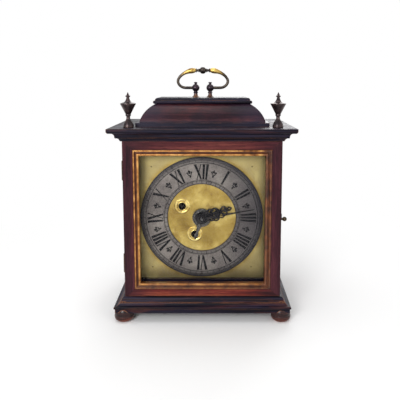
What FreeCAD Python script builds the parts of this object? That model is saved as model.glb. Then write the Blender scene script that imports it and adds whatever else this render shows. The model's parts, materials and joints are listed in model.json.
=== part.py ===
import FreeCAD, Part
import math
import os

# Bracket clock with alarm: veneered case on bun feet, glazed doors, cushion top with
# carrying handle, square brass dial, and a two-plate spring-driven pendulum movement.
# Millimetres, +Z up, +X to the right of the dial, the dial looks along -Y.
# The origin is on the surface that the feet stand on, in the middle of the case.

V = FreeCAD.Vector

# ---- case ---------------------------------------------------------------------------
case_w = 205.0            # outside of the side boards
case_d = 140.0            # door face to rear door face
body_h = 206.7            # base moulding to cornice
base_h = 19.0             # height of the base moulding
base_out = 13.2           # overhang of the base moulding
foot_gap = 12.4           # floor to underside of the base moulding
side_t = 8.0
base_board_t = 8.0
top_board_t = 8.0
cornice_h = 16.9
cornice_out = 16.7        # overhang of the cornice
fit = 0.2                 # joiner's clearance between loose fitting wooden pieces
# ---- feet and finials -----------------------------------------------------------------
foot_r = 12.5
foot_h = 18.0
foot_out = 1.2            # foot axis outside the corner of the case
foot_tenon_r = 5.0
foot_tenon_h = 8.0
finial_in = 8.0           # finial axis inside the side of the case
finial_back = 5.8         # finial axis behind the door face
finial_dowel_r = 2.5
finial_dowel_h = 8.0
finial_lean = 4.5         # degrees, the right finial leans outwards
# ---- top ------------------------------------------------------------------------------
plinth_in = 15.2          # dome plinth inside the case sides
plinth_h = 5.0
dome_in = 19.8            # foot of the cushion inside the case sides
dome_wall = 6.0
dome_h = 23.8             # plinth top to cap
cap_in = 36.1             # widest part of the cap inside the case sides
cap_h = 8.0
# ---- handle ---------------------------------------------------------------------------
post_x = 10.1             # half the distance between the handle posts
post_h = 13.3             # cap to the pivot axis
ball_r = 5.35
bail_rod = 4.2            # diameter of the bail
bail_half_w = 37.15
bail_h = 24.1             # pivot axis to the axis of the top bar
bail_grip = 6.0           # length of each bail end in its ball
pin_clear = 0.06          # radial clearance of the bail ends and hinge pins
# ---- doors ----------------------------------------------------------------------------
door_t = 13.5
door_gap = 0.4            # above and below each door
seam = 0.5                # door back to side boards
stile_w = 12.7
bottom_rail_w = 8.7
top_rail_w = 10.6
sight_w = 7.9             # gilt double-bead moulding round the glass
glass_t = 2.0
rear_door_t = 9.0
rear_stile_w = 16.0
hinge_len = 24.0
hinge_leaf = 7.0
hinge_t = 1.1
knuckle_r = 1.7
hinge_pin_r = 0.8
knuckle_gap = 0.2         # knuckles to the wood
hinge_from_end = 28.0     # door end to hinge
glass_in = 7.0            # door face to glass
stud_in = 8.0             # door face to latch stud
catch_up = 2.7            # latch and turn button above the dial centre
latch_arm = 16.0          # hook pivot to stud
stud_r = 1.6
hook_slot_r = 2.1
catch_screw_r = 1.5
# ---- side windows ---------------------------------------------------------------------
window_w = 74.0
window_h = 142.0
window_up = 36.6          # body foot to window opening
window_bead = 5.0
window_back = 5.0         # window centre behind the middle of the case
window_glass_in = 4.0      # case side to window glass
# ---- dial -----------------------------------------------------------------------------
dial_size = 178.0
dial_t = 1.6
dial_back = 25.0          # door face to dial face
dial_up = 99.9            # body foot to dial centre
dial_dx = -1.2            # the dial sits a little left of the middle
ring_margin = 6.25        # edge of the dial to the chapter ring
ring_id = 92.0
ring_t = 1.5
dial_hole_r = 5.2
wind_hole_r = 4.9
collet_r = 10.5
dial_foot_u, dial_foot_w = 67.3, 69.5
mask_lap = 4.4            # mask over the dial's edge
mask_t = 5.0
# ---- movement -------------------------------------------------------------------------
plate_w = 145.0
plate_lo = 73.5           # dial centre to the foot of the plates
plate_hi = 75.5
plate_t = 2.5
front_plate_at = 9.0      # dial face to front plate
plates_apart = 52.0       # between the plates
pillar_u, pillar_w = 60.0, 58.0
pillar_r = 4.5
pivot_r = 0.8
run = 0.04                # radial clearance of running pivots
play = 0.2                # end play of arbors
seat_t = 8.0
seat_front = 1.0          # seat board in front of the front plate
seat_behind = 2.0         # and behind the back plate
cleat_h = 8.0
seat_bolt_r = 2.0
centre_dist = 30.66       # barrel arbor to centre arbor
third_dist = 22.9
escape_dist = 21.6
motion_dist = 21.5
alarm_dist = 19.6
barrel_r = 20.5
escape_r = 14.0
pendulum_len = 142.4      # pallet arbor to the middle of the bob
bob_r = 13.0
bell_r = 29.0
bell_h = 24.0
bell_wall = 2.0
bell_depth = 37.0         # dial face to the middle of the bell and hammer
hammer_dist = 21.2        # crown wheel arbor to hammer arbor
alarm_drum_r = 13.0
crown_r = 13.0
wind_square = 3.0
going_ratchet_r = 11.0
alarm_ratchet_r = 9.0
ratchet_teeth = 24
hour_rest, minute_rest, alarm_rest = 72.0, 81.3, 197.3     # degrees clockwise from twelve

# ---- derived places -------------------------------------------------------------------
hx, hy = case_w / 2, case_d / 2
base_z = foot_gap
body_z0 = base_z + base_h
body_z1 = body_z0 + body_h
cornice_z1 = body_z1 + cornice_h
plinth_z1 = cornice_z1 + plinth_h
cap_z0 = plinth_z1 + dome_h
cap_z1 = cap_z0 + cap_h
pivot_z = cap_z1 + post_h
inner_x = hx - side_t
dial_y = -hy + dial_back
cx, cz = dial_dx, body_z0 + dial_up
door_z0, door_z1 = body_z0 + door_gap, body_z1 - door_gap
back_in = front_plate_at + plate_t + plates_apart      # depth of the back plate
sight_x = hx - stile_w - sight_w
sight_z0 = door_z0 + bottom_rail_w + sight_w
sight_z1 = door_z1 - top_rail_w - sight_w
hinge_out = knuckle_r + knuckle_gap      # hinge axis outside the wood
ring_od = dial_size - 2 * ring_margin

# arbors, (across, up) from the dial centre
barrel_at = (-26.4, math.sqrt(centre_dist ** 2 - 26.4 ** 2))
third_at = (4.7, math.sqrt(third_dist ** 2 - 4.7 ** 2))
escape_at = (0.0, third_at[1] + math.sqrt(escape_dist ** 2 - third_at[0] ** 2))
pallet_at = (0.0, escape_at[1] + escape_r * math.sqrt(2))
minute_at = (20.2, -math.sqrt(motion_dist ** 2 - 20.2 ** 2))
alarm_at = (-9.6, -22.9)
crown_at = (alarm_at[0] + alarm_dist * math.cos(math.radians(20)),
            alarm_at[1] - alarm_dist * math.sin(math.radians(20)))
hammer_at = (crown_at[0] + hammer_dist, crown_at[1])


# ---- shape helpers --------------------------------------------------------------------
def box(x0, x1, y0, y1, z0, z1):
    return Part.makeBox(x1 - x0, y1 - y0, z1 - z0, V(x0, y0, z0))


def rod(r, a, b):
    a, b = V(*a), V(*b)
    return Part.makeCylinder(r, (b - a).Length, a, b - a)


def fused(shapes):
    out = shapes[0].fuse(shapes[1:]) if len(shapes) > 1 else shapes[0]
    return out.removeSplitter()


def outline(points, place):
    """A closed face: (a, b) is a straight run to there, (a, b, c, d) an arc through (a, b) to (c, d)."""
    edges, last = [], V(*place(*points[0][:2]))
    first = last
    for p in points[1:] + [points[0][:2]]:
        end = V(*place(*p[-2:]))
        if (end - last).Length < 1e-6:
            continue
        if len(p) == 4:
            edges.append(Part.Arc(last, V(*place(p[0], p[1])), end).toShape())
        else:
            edges.append(Part.LineSegment(last, end).toShape())
        last = end
    return Part.Face(Part.Wire(edges))


def turned(points, at, lean=0):
    """A solid turned about a vertical axis from (radius, height) points."""
    face = outline(points, lambda r, z: (r, 0, z))
    s = face.revolve(V(0, 0, 0), V(0, 0, 1), 360)
    s = Part.Solid(s) if s.ShapeType != "Solid" else s
    if lean:
        s.rotate(V(0, 0, 0), V(0, 1, 0), lean)
    s.translate(V(*at))
    return s


def turned_y(steps, u=0.0, w=0.0):
    """A stepped arbor along Y: each step is (depth, depth, radius), depths from the dial face."""
    return fused([rod(r, (cx + u, dial_y + a, cz + w), (cx + u, dial_y + b, cz + w)) for a, b, r in steps])


def slab(points, d0, d1, u=0.0, w=0.0, turn=0.0):
    """A flat piece parallel to the dial from (across, up) points, turned clockwise by degrees."""
    pts = [V(cx + u + a, dial_y + d0, cz + w + b) for a, b in points]
    s = Part.Face(Part.makePolygon(pts + [pts[0]])).extrude(V(0, d1 - d0, 0))
    if turn:
        s.rotate(V(cx + u, 0, cz + w), V(0, 1, 0), turn)
    return s


def disc(d0, d1, r, u=0.0, w=0.0, bore=0.0):
    s = turned_y([(d0, d1, r)], u, w)
    return s.cut(turned_y([(d0 - 1, d1 + 1, bore)], u, w)) if bore else s


def mirror_x(s):
    return s.mirror(V(0, 0, 0), V(1, 0, 0))


def mirror_y(s):
    return s.mirror(V(0, 0, 0), V(0, 1, 0))


def mitred(section, half_x, half_y, reach=60.0):
    """Four lengths of moulding round a rectangle, mitred at the corners; section is (outwards, height)."""
    out = []
    for along_x in (True, False):
        a, b = (half_x, half_y) if along_x else (half_y, half_x)
        if along_x:
            face = outline(section, lambda o, z: (-a - reach, -b - o, z))
            bar = face.extrude(V(2 * (a + reach), 0, 0))
            corners = [(-a - reach, -b - reach), (a + reach, -b - reach), (a - reach, -b + reach), (-a + reach, -b + reach)]
        else:
            face = outline(section, lambda o, z: (b + o, -a - reach, z))
            bar = face.extrude(V(0, 2 * (a + reach), 0))
            corners = [(b + reach, -a - reach), (b + reach, a + reach), (b - reach, a - reach), (b - reach, -a + reach)]
        lo, hi = min(p[-1] for p in section) - 1, max(p[-1] for p in section) + 1
        pts = [V(x, y, lo) for x, y in corners]
        prism = Part.Face(Part.makePolygon(pts + [pts[0]])).extrude(V(0, 0, hi - lo))
        s = bar.common(prism)
        out += [s, mirror_y(s) if along_x else mirror_x(s)]
    return [p.Solids[0] for p in out]


def flat_ring(x0, x1, z0, z1, section):
    """Four mitred lengths round an upright opening; section is (outwards from the opening, y)."""
    mx, mz = (x0 + x1) / 2, (z0 + z1) / 2
    reach = min(x1 - x0, z1 - z0) / 2 - 1
    out = []
    for i in range(4):
        a, b = ((x1 - x0) / 2, (z1 - z0) / 2) if i % 2 == 0 else ((z1 - z0) / 2, (x1 - x0) / 2)
        face = outline(section, lambda o, y: (-a - reach, y, -b - o))
        bar = face.extrude(V(2 * (a + reach), 0, 0))
        lo, hi = min(p[-1] for p in section) - 1, max(p[-1] for p in section) + 1
        pts = [V(x, lo, z) for x, z in [(-a - reach, -b - reach), (a + reach, -b - reach), (a - reach, -b + reach), (-a + reach, -b + reach)]]
        prism = Part.Face(Part.makePolygon(pts + [pts[0]])).extrude(V(0, hi - lo, 0))
        s = bar.common(prism).Solids[0]
        s.rotate(V(0, 0, 0), V(0, 1, 0), 90 * i)
        s.translate(V(mx, 0, mz))
        out.append(s)
    return out


def squared(profile, half_x, half_y):
    """A block whose four sides have one profile of (inwards, height) and meet in true mitres."""
    def bar(a, b, along_x):
        right = [(b - p[0], p[1]) if len(p) == 2 else (b - p[0], p[1], b - p[2], p[3]) for p in profile]
        pts = [(-b + profile[0][0], profile[0][1])] + right
        back = [(-x, z) for x, z in [q[-2:] for q in right]]
        left = []
        for i in range(len(right) - 1, 0, -1):
            q, target = right[i], right[i - 1][-2:]
            left.append((-q[0], q[1], -target[0], target[1]) if len(q) == 4 else (-target[0], target[1]))
        pts = [right[0][-2:]] + right[1:] + [back[-1]] + left
        if along_x:
            return outline(pts, lambda c, z: (-a - 5, c, z)).extrude(V(2 * a + 10, 0, 0))
        return outline(pts, lambda c, z: (c, -a - 5, z)).extrude(V(0, 2 * a + 10, 0))
    return bar(half_x, half_y, True).common(bar(half_y, half_x, False)).Solids[0]


# ---- gears ----------------------------------------------------------------------------
def wheel_outline(n, m, pinion_r, thick=0.46, add=1.0, ded=0.95):
    """Cycloidal wheel teeth: radial flanks, and points that a pinion of radial leaves rolls on."""
    R, rho = n * m / 2, pinion_r / 2
    half, prof = thick * math.pi / n, []
    for i in range(1, 400):
        t = i * 0.036 / n
        x = (R + rho) * math.cos(t) - rho * math.cos((R + rho) / rho * t)
        y = (R + rho) * math.sin(t) - rho * math.sin((R + rho) / rho * t)
        prof.append((math.hypot(x, y), math.atan2(y, x)))
        if prof[-1][0] >= R + add * m or prof[-1][1] >= half:
            break
    step = max(1, len(prof) // 3)
    sel = prof[step - 1::step]
    if sel[-1] != prof[-1]:
        sel.append(prof[-1])
    flank = [(R - ded * m, 0.0), (R, 0.0)] + sel
    out = []
    for k in range(n):
        c = 2 * math.pi * k / n
        out += [(r, c - half + a) for r, a in flank] + [(r, c + half - a) for r, a in reversed(flank)]
    return [(r * math.cos(a), r * math.sin(a)) for r, a in out]


def pinion_outline(n, m, thick=0.36, ded=1.3, tip=0.45):
    R, out = n * m / 2, []
    half = thick * math.pi / n
    for k in range(n):
        c = 2 * math.pi * k / n
        flank = [(R - ded * m, half), (R, half)] + [(R + tip * m * math.sin(t), half * math.cos(t)) for t in (0.5, 1.0, 1.3)]
        out += [(r, c - a) for r, a in flank] + [(r, c + a) for r, a in reversed(flank)]
    return [(r * math.cos(a), r * math.sin(a)) for r, a in out]


def toothed(points, d0, d1, at, phase):
    c, s = math.cos(phase), math.sin(phase)
    return slab([(x * c - y * s, x * s + y * c) for x, y in points], d0, d1, at[0], at[1])


def heading(a, b):
    return math.atan2(b[1] - a[1], b[0] - a[0])


def wheel(n, m, pinion_r, d0, d1, at, mate, bore, hub=0.0, spokes=4, rim=2.6):
    """A wheel with one tooth pointing at its mate, crossed out between hub and rim."""
    s = toothed(wheel_outline(n, m, pinion_r), d0, d1, at, heading(at, mate))
    if hub:
        gap = disc(d0 - 1, d1 + 1, n * m / 2 - rim - 0.95 * m, *at).cut(disc(d0 - 1, d1 + 1, hub, *at))
        arms = []
        for k in range(spokes // 2):
            arms.append(slab([(-1.3, -40), (1.3, -40), (1.3, 40), (-1.3, 40)], d0 - 2, d1 + 2, at[0], at[1], 180.0 / (spokes // 2) * k + 20))
        s = s.cut(gap.cut(fused(arms) if len(arms) > 1 else arms[0]))
    return s.cut(turned_y([(d0 - 1, d1 + 1, bore)], *at))


def pinion(n, m, d0, d1, at, mate, thick=0.36, ded=1.3, tip=0.45):
    """A pinion with a gap between leaves pointing at its mate."""
    return toothed(pinion_outline(n, m, thick, ded, tip), d0, d1, at, heading(at, mate) + math.pi / n)


def ratchet(n, r, depth, d0, d1, at, phase, bore):
    pts = []
    for k in range(n):
        a = 2 * math.pi * k / n + phase
        b = 2 * math.pi * (k + 0.97) / n + phase
        pts += [((r - depth) * math.cos(a), (r - depth) * math.sin(a)), (r * math.cos(a), r * math.sin(a)),
                ((r - depth) * math.cos(b), (r - depth) * math.sin(b))]
    return slab(pts, d0, d1, *at).cut(turned_y([(d0 - 1, d1 + 1, bore)], *at))


def squares(d0, d1, at, size):
    h = size / 2
    return slab([(-h, -h), (h, -h), (h, h), (-h, h)], d0, d1, at[0], at[1])


# ---- case -----------------------------------------------------------------------------
def base_section():
    z, t = base_z, body_z0
    inn = -14.0
    return [(inn, z), (base_out - 3.2, z), (base_out - 1.9, z + 0.6, base_out - 1.4, z + 2.0), (base_out - 1.4, z + 6.2),
            (base_out - 0.3, z + 6.6, base_out, z + 7.8), (base_out - 0.3, z + 9.0, base_out - 1.4, z + 9.4),
            (base_out - 4.6, z + 10.2, base_out - 6.2, z + 12.4), (base_out - 7.2, z + 12.6), (base_out - 7.2, z + 13.4),
            (base_out - 8.6, z + 15.2, base_out - 9.0, z + 15.8), (base_out - 10.2, z + 18.2, base_out - 12.4, z + 19.0),
            (0.0, t), (0.0, t - base_board_t), (inn, t - base_board_t)]


def cornice_section():
    z, c, inn = body_z1, cornice_out, -(plinth_in + 9.3)
    return [(0.0, z), (1.7, z), (2.4, z + 0.7), (3.5, z + 2.9, 7.1, z + 4.3), (7.7, z + 4.9), (c - 8.7, z + 7.1),
            (c - 7.6, z + 9.3, c - 4.7, z + 10.9), (c - 2.1, z + 10.9), (c - 0.6, z + 12.0, c, z + 13.6), (c, z + 16.2),
            (c - 0.2, z + 16.7, c - 0.7, z + cornice_h), (inn, z + cornice_h), (inn, z + top_board_t), (0.0, z + top_board_t)]


def foot_profile(grow=0.0):
    r, h = foot_r + grow, foot_h + grow
    return [(0.0, -grow), (r - 4.4, -grow), (r - 0.8, 2.2, r, 8.4), (r - 0.6, 13.4, r - 3.0, h), (0.0, h)]


def foot_places():
    return [(sx * (hx + foot_out), sy * (hy + foot_out), 0.0) for sx in (-1, 1) for sy in (-1, 1)]


def make_feet():
    return [fused([turned(foot_profile(), p), rod(foot_tenon_r, (p[0], p[1], foot_h - 1), (p[0], p[1], foot_h + foot_tenon_h))]) for p in foot_places()]


def make_base_mouldings():
    pieces = mitred(base_section(), hx, hy)
    tools = [turned(foot_profile(0.05), p) for p in foot_places()]
    tools += [rod(foot_tenon_r, (p[0], p[1], foot_h - 1), (p[0], p[1], foot_h + foot_tenon_h)) for p in foot_places()]
    return [s.cut(tools).Solids[0] for s in pieces]


def make_base_board():
    tools = [rod(foot_tenon_r, (p[0], p[1], foot_h - 1), (p[0], p[1], foot_h + foot_tenon_h)) for p in foot_places()]
    return box(-hx, hx, -hy, hy, body_z0 - base_board_t, body_z0).cut(tools)


def window_box(x0, x1, grow=0.0):
    z0 = body_z0 + window_up
    return box(x0, x1, window_back - window_w / 2 - grow, window_back + window_w / 2 + grow, z0 - grow, z0 + window_h + grow)


def make_side_boards(front_leaves, rear_leaves):
    right = box(inner_x, hx, -hy + door_t + seam, hy, body_z0, body_z1).cut(window_box(inner_x - 1, hx + 1))
    right = right.cut(window_box(hx - window_glass_in, hx + 1, 3.0))
    left = mirror_x(right).cut(front_leaves)
    right = right.cut(rear_leaves).cut([latch_screw_hole()])
    left = left.cut([catch_screw_hole()])
    return [left, right]


def make_side_glasses():
    g = window_box(hx - window_glass_in, hx - window_glass_in + glass_t, 2.8)
    return [mirror_x(g), g]


def make_window_beads():
    """Gilt quarter-round frames that hold the side glasses from outside."""
    z0 = body_z0 + window_up
    outer = window_box(hx - window_glass_in + glass_t, hx - 0.001, 2.8)
    lip = window_box(hx, hx + 1.2, window_bead)
    frame = outer.fuse(lip).removeSplitter().cut(window_box(hx - 5, hx + 5, -0.6))
    edges = [e for e in frame.Edges if abs(e.BoundBox.XMin - (hx + 1.2)) < 1e-6 and abs(e.BoundBox.XMax - (hx + 1.2)) < 1e-6]
    frame = frame.makeFillet(0.9, edges)
    frame = frame.Solids[0]
    return [mirror_x(frame), frame]


def make_top_board():
    b = box(-hx, hx, -hy, hy, body_z1, body_z1 + top_board_t)
    holes = [rod(7.0, (x, y, body_z1 - 1), (x, y, body_z1 + top_board_t + 1)) for x in (-52, 52) for y in (-18, 18)]
    return b.cut(holes + [rod(2.0, (0, dial_y + bell_depth, body_z1 - 1), (0, dial_y + bell_depth, body_z1 + top_board_t - 2))])


def finial_places():
    return [(sx * (hx - finial_in), -hy + finial_back, cornice_z1) for sx in (-1, 1)]


def make_cornice():
    tools = [rod(finial_dowel_r, (p[0], p[1], p[2] - finial_dowel_h), (p[0], p[1], p[2] + 1)) for p in finial_places()]
    return [s.cut(tools).Solids[0] for s in mitred(cornice_section(), hx, hy)]


def make_finials():
    profile = [(0, 0), (6.5, 0), (6.5, 1.2), (5.6, 1.6), (6.6, 3.0, 6.6, 4.8), (6.6, 6.6, 5.2, 8.1), (3.6, 9.6, 3.0, 12.0),
               (3.0, 14.2), (3.7, 15.2, 3.5, 16.3), (4.4, 19.0), (7.6, 24.6, 9.6, 28.4), (10.15, 29.2, 10.15, 30.1),
               (9.6, 31.0, 8.6, 31.2), (7.0, 31.6), (4.2, 33.2, 1.6, 36.7), (1.6, 37.4), (3.3, 38.6, 3.3, 39.9),
               (3.2, 41.6, 1.5, 43.4), (0.6, 45.0), (0, 45.0)]
    out = []
    for p, lean in zip(finial_places(), (0.0, finial_lean)):
        s = turned(profile, p, lean)
        s = s.cut(box(p[0] - 30, p[0] + 30, p[1] - 30, p[1] + 30, p[2] - 20, p[2]))
        out.append(fused([s, rod(finial_dowel_r, (p[0], p[1], p[2] - finial_dowel_h), (p[0], p[1], p[2] + 2))]))
    return out


def dome_profile(off=0.0):
    """(inwards, height) from the plinth up; off moves it inwards and down."""
    o, z = plinth_z1, dome_in
    return [(plinth_in + off, cornice_z1), (plinth_in + off, o), (z + off, o), (z + off, o + 1.0),
            (dome_in + 6.4 + off, o + 13.5 - off * 0.5, dome_in + 19.2 + off * 0.5, o + dome_h - off)]


def make_dome():
    outer = squared(dome_profile(), hx, hy)
    inner = squared(dome_profile(dome_wall), hx, hy)
    return outer.cut(inner).cut(post_stems())


def cap_profile():
    z, c = cap_z0, cap_in
    return [(c + 2.2, z), (c + 0.4, z + 1.0, c, z + 2.8), (c + 0.5, z + 3.9, c + 1.6, z + 4.4), (c + 2.4, z + 4.6),
            (c + 3.0, z + 6.6, c + 5.3, z + cap_h)]


def post_stems():
    return [rod(2.0, (s * post_x, 0, cap_z0 - dome_wall + 1.0), (s * post_x, 0, cap_z1 + 1)) for s in (-1, 1)]


def make_cap():
    return squared(cap_profile(), hx, hy).cut(post_stems())


def bail_end_hole():
    x = post_x + ball_r - bail_grip
    return rod(bail_rod / 2 + pin_clear, (x, 0, pivot_z), (x + ball_r * 2, 0, pivot_z))


def make_posts():
    h = post_h
    profile = [(0, 0), (5.3, 0), (5.3, 0.8), (3.6, 2.0, 2.6, 4.6), (2.5, 5.6), (3.3, 6.2), (3.3, 7.0), (2.7, 7.4), (2.7, h - 4.6),
               (ball_r, h, 2.7, h + 4.6), (1.5, h + 5.2), (1.5, h + 5.8), (2.5, h + 7.0, 1.4, h + 8.0), (0, h + 8.4)]
    s = fused([turned(profile, (post_x, 0, cap_z1)), rod(2.0, (post_x, 0, cap_z0 - dome_wall + 1.0), (post_x, 0, cap_z1 + 1))])
    s = s.cut(bail_end_hole())
    return [mirror_x(s), s]


def make_bail():
    """A rod that enters both balls from outside and closes over them, with turned lobes on its top bar."""
    r, R = bail_rod / 2, bail_h / 2
    xc = bail_half_w - r - R
    top = pivot_z + bail_h
    parts = []
    for s in (-1, 1):
        parts.append(rod(r, (s * (post_x + ball_r - bail_grip + 0.3), 0, pivot_z), (s * xc, 0, pivot_z)))
        c = Part.Face(Part.Wire(Part.makeCircle(r, V(s * xc, 0, pivot_z), V(1, 0, 0))))
        parts.append(c.revolve(V(s * xc, 0, pivot_z + R), V(0, -s, 0), 180))
    half = [(xc, 0), (xc, r), (21.8, r), (21.6, 2.7), (20.9, 2.7), (20.7, 2.2), (17.4, 3.95, 14.1, 2.2), (13.9, 2.7), (13.2, 2.7), (12.9, 1.7),
            (10.2, 1.5), (6.4, 1.9), (6.1, 2.7), (5.4, 2.7), (5.1, 2.2), (2.6, 4.6, 0.5, 5.35), (0.0, 5.5), (0.0, 0)]
    face = outline(half, lambda x, q: (x, 0, top + q))
    bar = face.revolve(V(0, 0, top), V(1, 0, 0), 360)
    parts += [bar, mirror_x(bar)]
    return fused([Part.Solid(p) if p.ShapeType == "Shell" else p for p in parts])


# ---- doors and hinges -----------------------------------------------------------------
def hinge_fixed(place):
    """The leaf and end knuckles that stay with the case, in a frame whose axis is the hinge pin."""
    L, third = hinge_len, hinge_len / 3
    leaf = [box(hinge_out, hinge_out + hinge_leaf, 0.05, 0.05 + hinge_t, 0, L)]
    for z in (0.0, 2 * third):
        leaf += [rod(knuckle_r, (0, 0, z), (0, 0, z + third - 0.1 if z == 0 else L)) if z == 0 else rod(knuckle_r, (0, 0, z + 0.1), (0, 0, L)),
                 box(0, hinge_out + 1, 0.05, 0.05 + hinge_t, z if z == 0 else z + 0.1, z + third - 0.1 if z == 0 else L)]
    s = fused(leaf).cut(rod(hinge_pin_r, (0, 0, -1), (0, 0, L + 1)))
    pin = fused([rod(hinge_pin_r, (0, 0, 0), (0, 0, L)), rod(knuckle_r - 0.2, (0, 0, L), (0, 0, L + 1.0)), rod(knuckle_r - 0.2, (0, 0, -1.0), (0, 0, 0))])
    return [place(s), place(pin)]


def hinge_moving(place):
    L, third = hinge_len, hinge_len / 3
    s = fused([box(hinge_out, hinge_out + hinge_leaf, -0.05 - hinge_t, -0.05, 0, L),
               box(0, hinge_out + 1, -0.05 - hinge_t, -0.05, third + 0.1, 2 * third - 0.1),
               rod(knuckle_r, (0, 0, third + 0.1), (0, 0, 2 * third - 0.1))])
    return place(s.cut(rod(hinge_pin_r + pin_clear, (0, 0, -1), (0, 0, L + 1))))


def hinge_heights():
    return [door_z0 + hinge_from_end, door_z1 - hinge_from_end - hinge_len]


def front_places():
    def at(z):
        def place(s):
            s = s.copy()
            s.translate(V(-hx - hinge_out, -hy + door_t + seam / 2, z))
            return s
        return place
    return [at(z) for z in hinge_heights()]


def rear_places():
    def at(z):
        def place(s):
            s = s.copy()
            s.rotate(V(0, 0, 0), V(0, 0, 1), -90)
            s.translate(V(inner_x - fit, hy + hinge_out, z))
            return s
        return place
    return [at(z) for z in hinge_heights()]


def make_front_frame(leaves):
    y0, y1 = -hy, -hy + door_t
    x, z0, z1 = hx - stile_w, sight_z0 - sight_w, sight_z1 + sight_w
    frame = flat_ring(-x, x, z0, z1, [(0, y0), (stile_w + 30, y0), (stile_w + 30, y1), (0, y1)])
    blank = box(-hx, hx, y0, y1, door_z0, door_z1)
    w, y = sight_w - 1.0, glass_y() + glass_t
    stop = flat_ring(-x + w, x - w, z0 + w, z1 - w, [(0, y), (w, y), (w, y + 3.0), (3.5, y + 3.6)])
    out = [s.common(blank).Solids[0] for s in frame]
    out = [s.cut(leaves).Solids[0] for s in out]
    return [s.cut([stud_shank()]).Solids[0] for s in out] + stop


def glass_y():
    return -hy + glass_in


def make_sight_edge():
    """The double gilt bead round the glass, with a sunk groove between the beads."""
    y, g = -hy, glass_y()
    return flat_ring(-sight_x, sight_x, sight_z0, sight_z1,
                     [(0, g), (0, y + 1.6), (0.25, y - 0.3, 1.4, y - 0.6), (2.5, y - 0.3, 2.7, y + 0.9), (3.2, y + 1.7), (3.9, y + 1.9, 4.7, y + 1.5),
                      (5.0, y + 0.6), (5.3, y - 0.4, 6.3, y - 0.6), (7.3, y - 0.3, 7.5, y + 0.6), (sight_w, y + 0.8), (sight_w, g)])


def make_front_glass():
    x, z0, z1 = hx - stile_w - fit, sight_z0 - sight_w + fit, sight_z1 + sight_w - fit
    return box(-x, x, glass_y(), glass_y() + glass_t, z0, z1)


def stud_at(out):
    return (hx + out, -hy + stud_in, cz + catch_up)


def stud_shank():
    return rod(stud_r, stud_at(-8.0), stud_at(1.0))


def make_stud():
    return fused([rod(stud_r, stud_at(-8.0), stud_at(5.4)), Part.makeSphere(3.0, V(*stud_at(5.4)))])


def latch_pivot():
    return (hx, -hy + stud_in + latch_arm, cz + catch_up)


def latch_screw_hole():
    x, y, z = latch_pivot()
    return rod(catch_screw_r, (x - 6.0, y, z), (x + 1, y, z))


def make_hook():
    """The hook stands upright, let go of the stud; turned forward it drops over the stud's neck."""
    x, y, z = latch_pivot()
    a = latch_arm
    pts = [(-2.2, 0), (-2.0, a - 3.4), (2.0, a - 3.4), (2.2, 0)]
    face = Part.Face(Part.makePolygon([V(x + 0.8, y + p, z + q) for p, q in pts + [pts[0]]]))
    arm = face.extrude(V(1.8, 0, 0))
    eye = rod(4.4, (x + 0.8, y, z + a), (x + 2.6, y, z + a))
    boss = rod(3.4, (x + 0.1, y, z), (x + 2.6, y, z))
    s = fused([arm, eye, boss])
    h = hook_slot_r
    slot = [(0, -h), (-5.2, -h - 1.4), (-5.2, h + 1.4), (0, h)]
    cut = Part.Face(Part.makePolygon([V(x, y + p, z + a + q) for p, q in slot + [slot[0]]])).extrude(V(4, 0, 0))
    return s.cut([cut, rod(h, (x, y, z + a), (x + 4, y, z + a)), rod(catch_screw_r + pin_clear, (x, y, z), (x + 4, y, z))])


def catch_pivot():
    return (-(inner_x + side_t / 2), hy, cz + catch_up)


def catch_screw_hole():
    x, y, z = catch_pivot()
    return rod(catch_screw_r, (x, y - 8.0, z), (x, y + 1, z))


def make_pivot_screws():
    x, y, z = latch_pivot()
    a = fused([rod(catch_screw_r, (x - 6.0, y, z), (x + 2.8, y, z)), rod(3.0, (x + 2.8, y, z), (x + 4.0, y, z))])
    a = a.cut(box(x + 3.4, x + 5, y - 4, y + 4, z - 0.35, z + 0.35))
    x, y, z = catch_pivot()
    b = fused([rod(catch_screw_r, (x, y - 8.0, z), (x, y + 2.6, z)), rod(3.0, (x, y + 2.6, z), (x, y + 3.8, z))])
    b = b.cut(box(x - 0.35, x + 0.35, y + 3.2, y + 5, z - 4, z + 4))
    return [a, b]


def make_turn_button():
    """Hangs straight down, clear of the rear door; turned inwards it holds the door shut."""
    x, y, z = catch_pivot()
    face = outline([(-3.4, 0), (-3.1, -6.6, 0, -12.4), (3.1, -6.6, 3.4, 0), (0, 3.4, -3.4, 0)], lambda a, b: (x + a, y + 0.4, z + b))
    return face.extrude(V(0, 2.0, 0)).cut(rod(catch_screw_r + pin_clear, (x, y, z), (x, y + 4, z)))


def make_rear_frame(leaves):
    y0, y1 = hy - rear_door_t, hy
    w = rear_stile_w
    x, z0, z1 = inner_x - fit * 2 - w, door_z0 + w, door_z1 - w
    blank = box(-(inner_x - fit * 2), inner_x - fit * 2, y0, y1, door_z0, door_z1)
    frame = flat_ring(-x, x, z0, z1, [(0, y1), (w + 30, y1), (w + 30, y0), (4, y0), (4, y0 + 5.5), (0, y0 + 5.5)])
    beads = flat_ring(-x, x, z0, z1, [(0.3, y0 + 1.2), (3.9, y0 + 0.2), (3.9, y0 + 3.4), (0.3, y0 + 3.4)])
    return [s.common(blank).Solids[0].cut(leaves).Solids[0] for s in frame] + beads


def make_rear_glass():
    w = rear_stile_w
    x, z0, z1 = inner_x - fit * 2 - w + 3.8, door_z0 + w - 3.8, door_z1 - w + 3.8
    return box(-x, x, hy - rear_door_t + 3.5, hy - rear_door_t + 3.5 + glass_t - 0.1, z0, z1)


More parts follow.
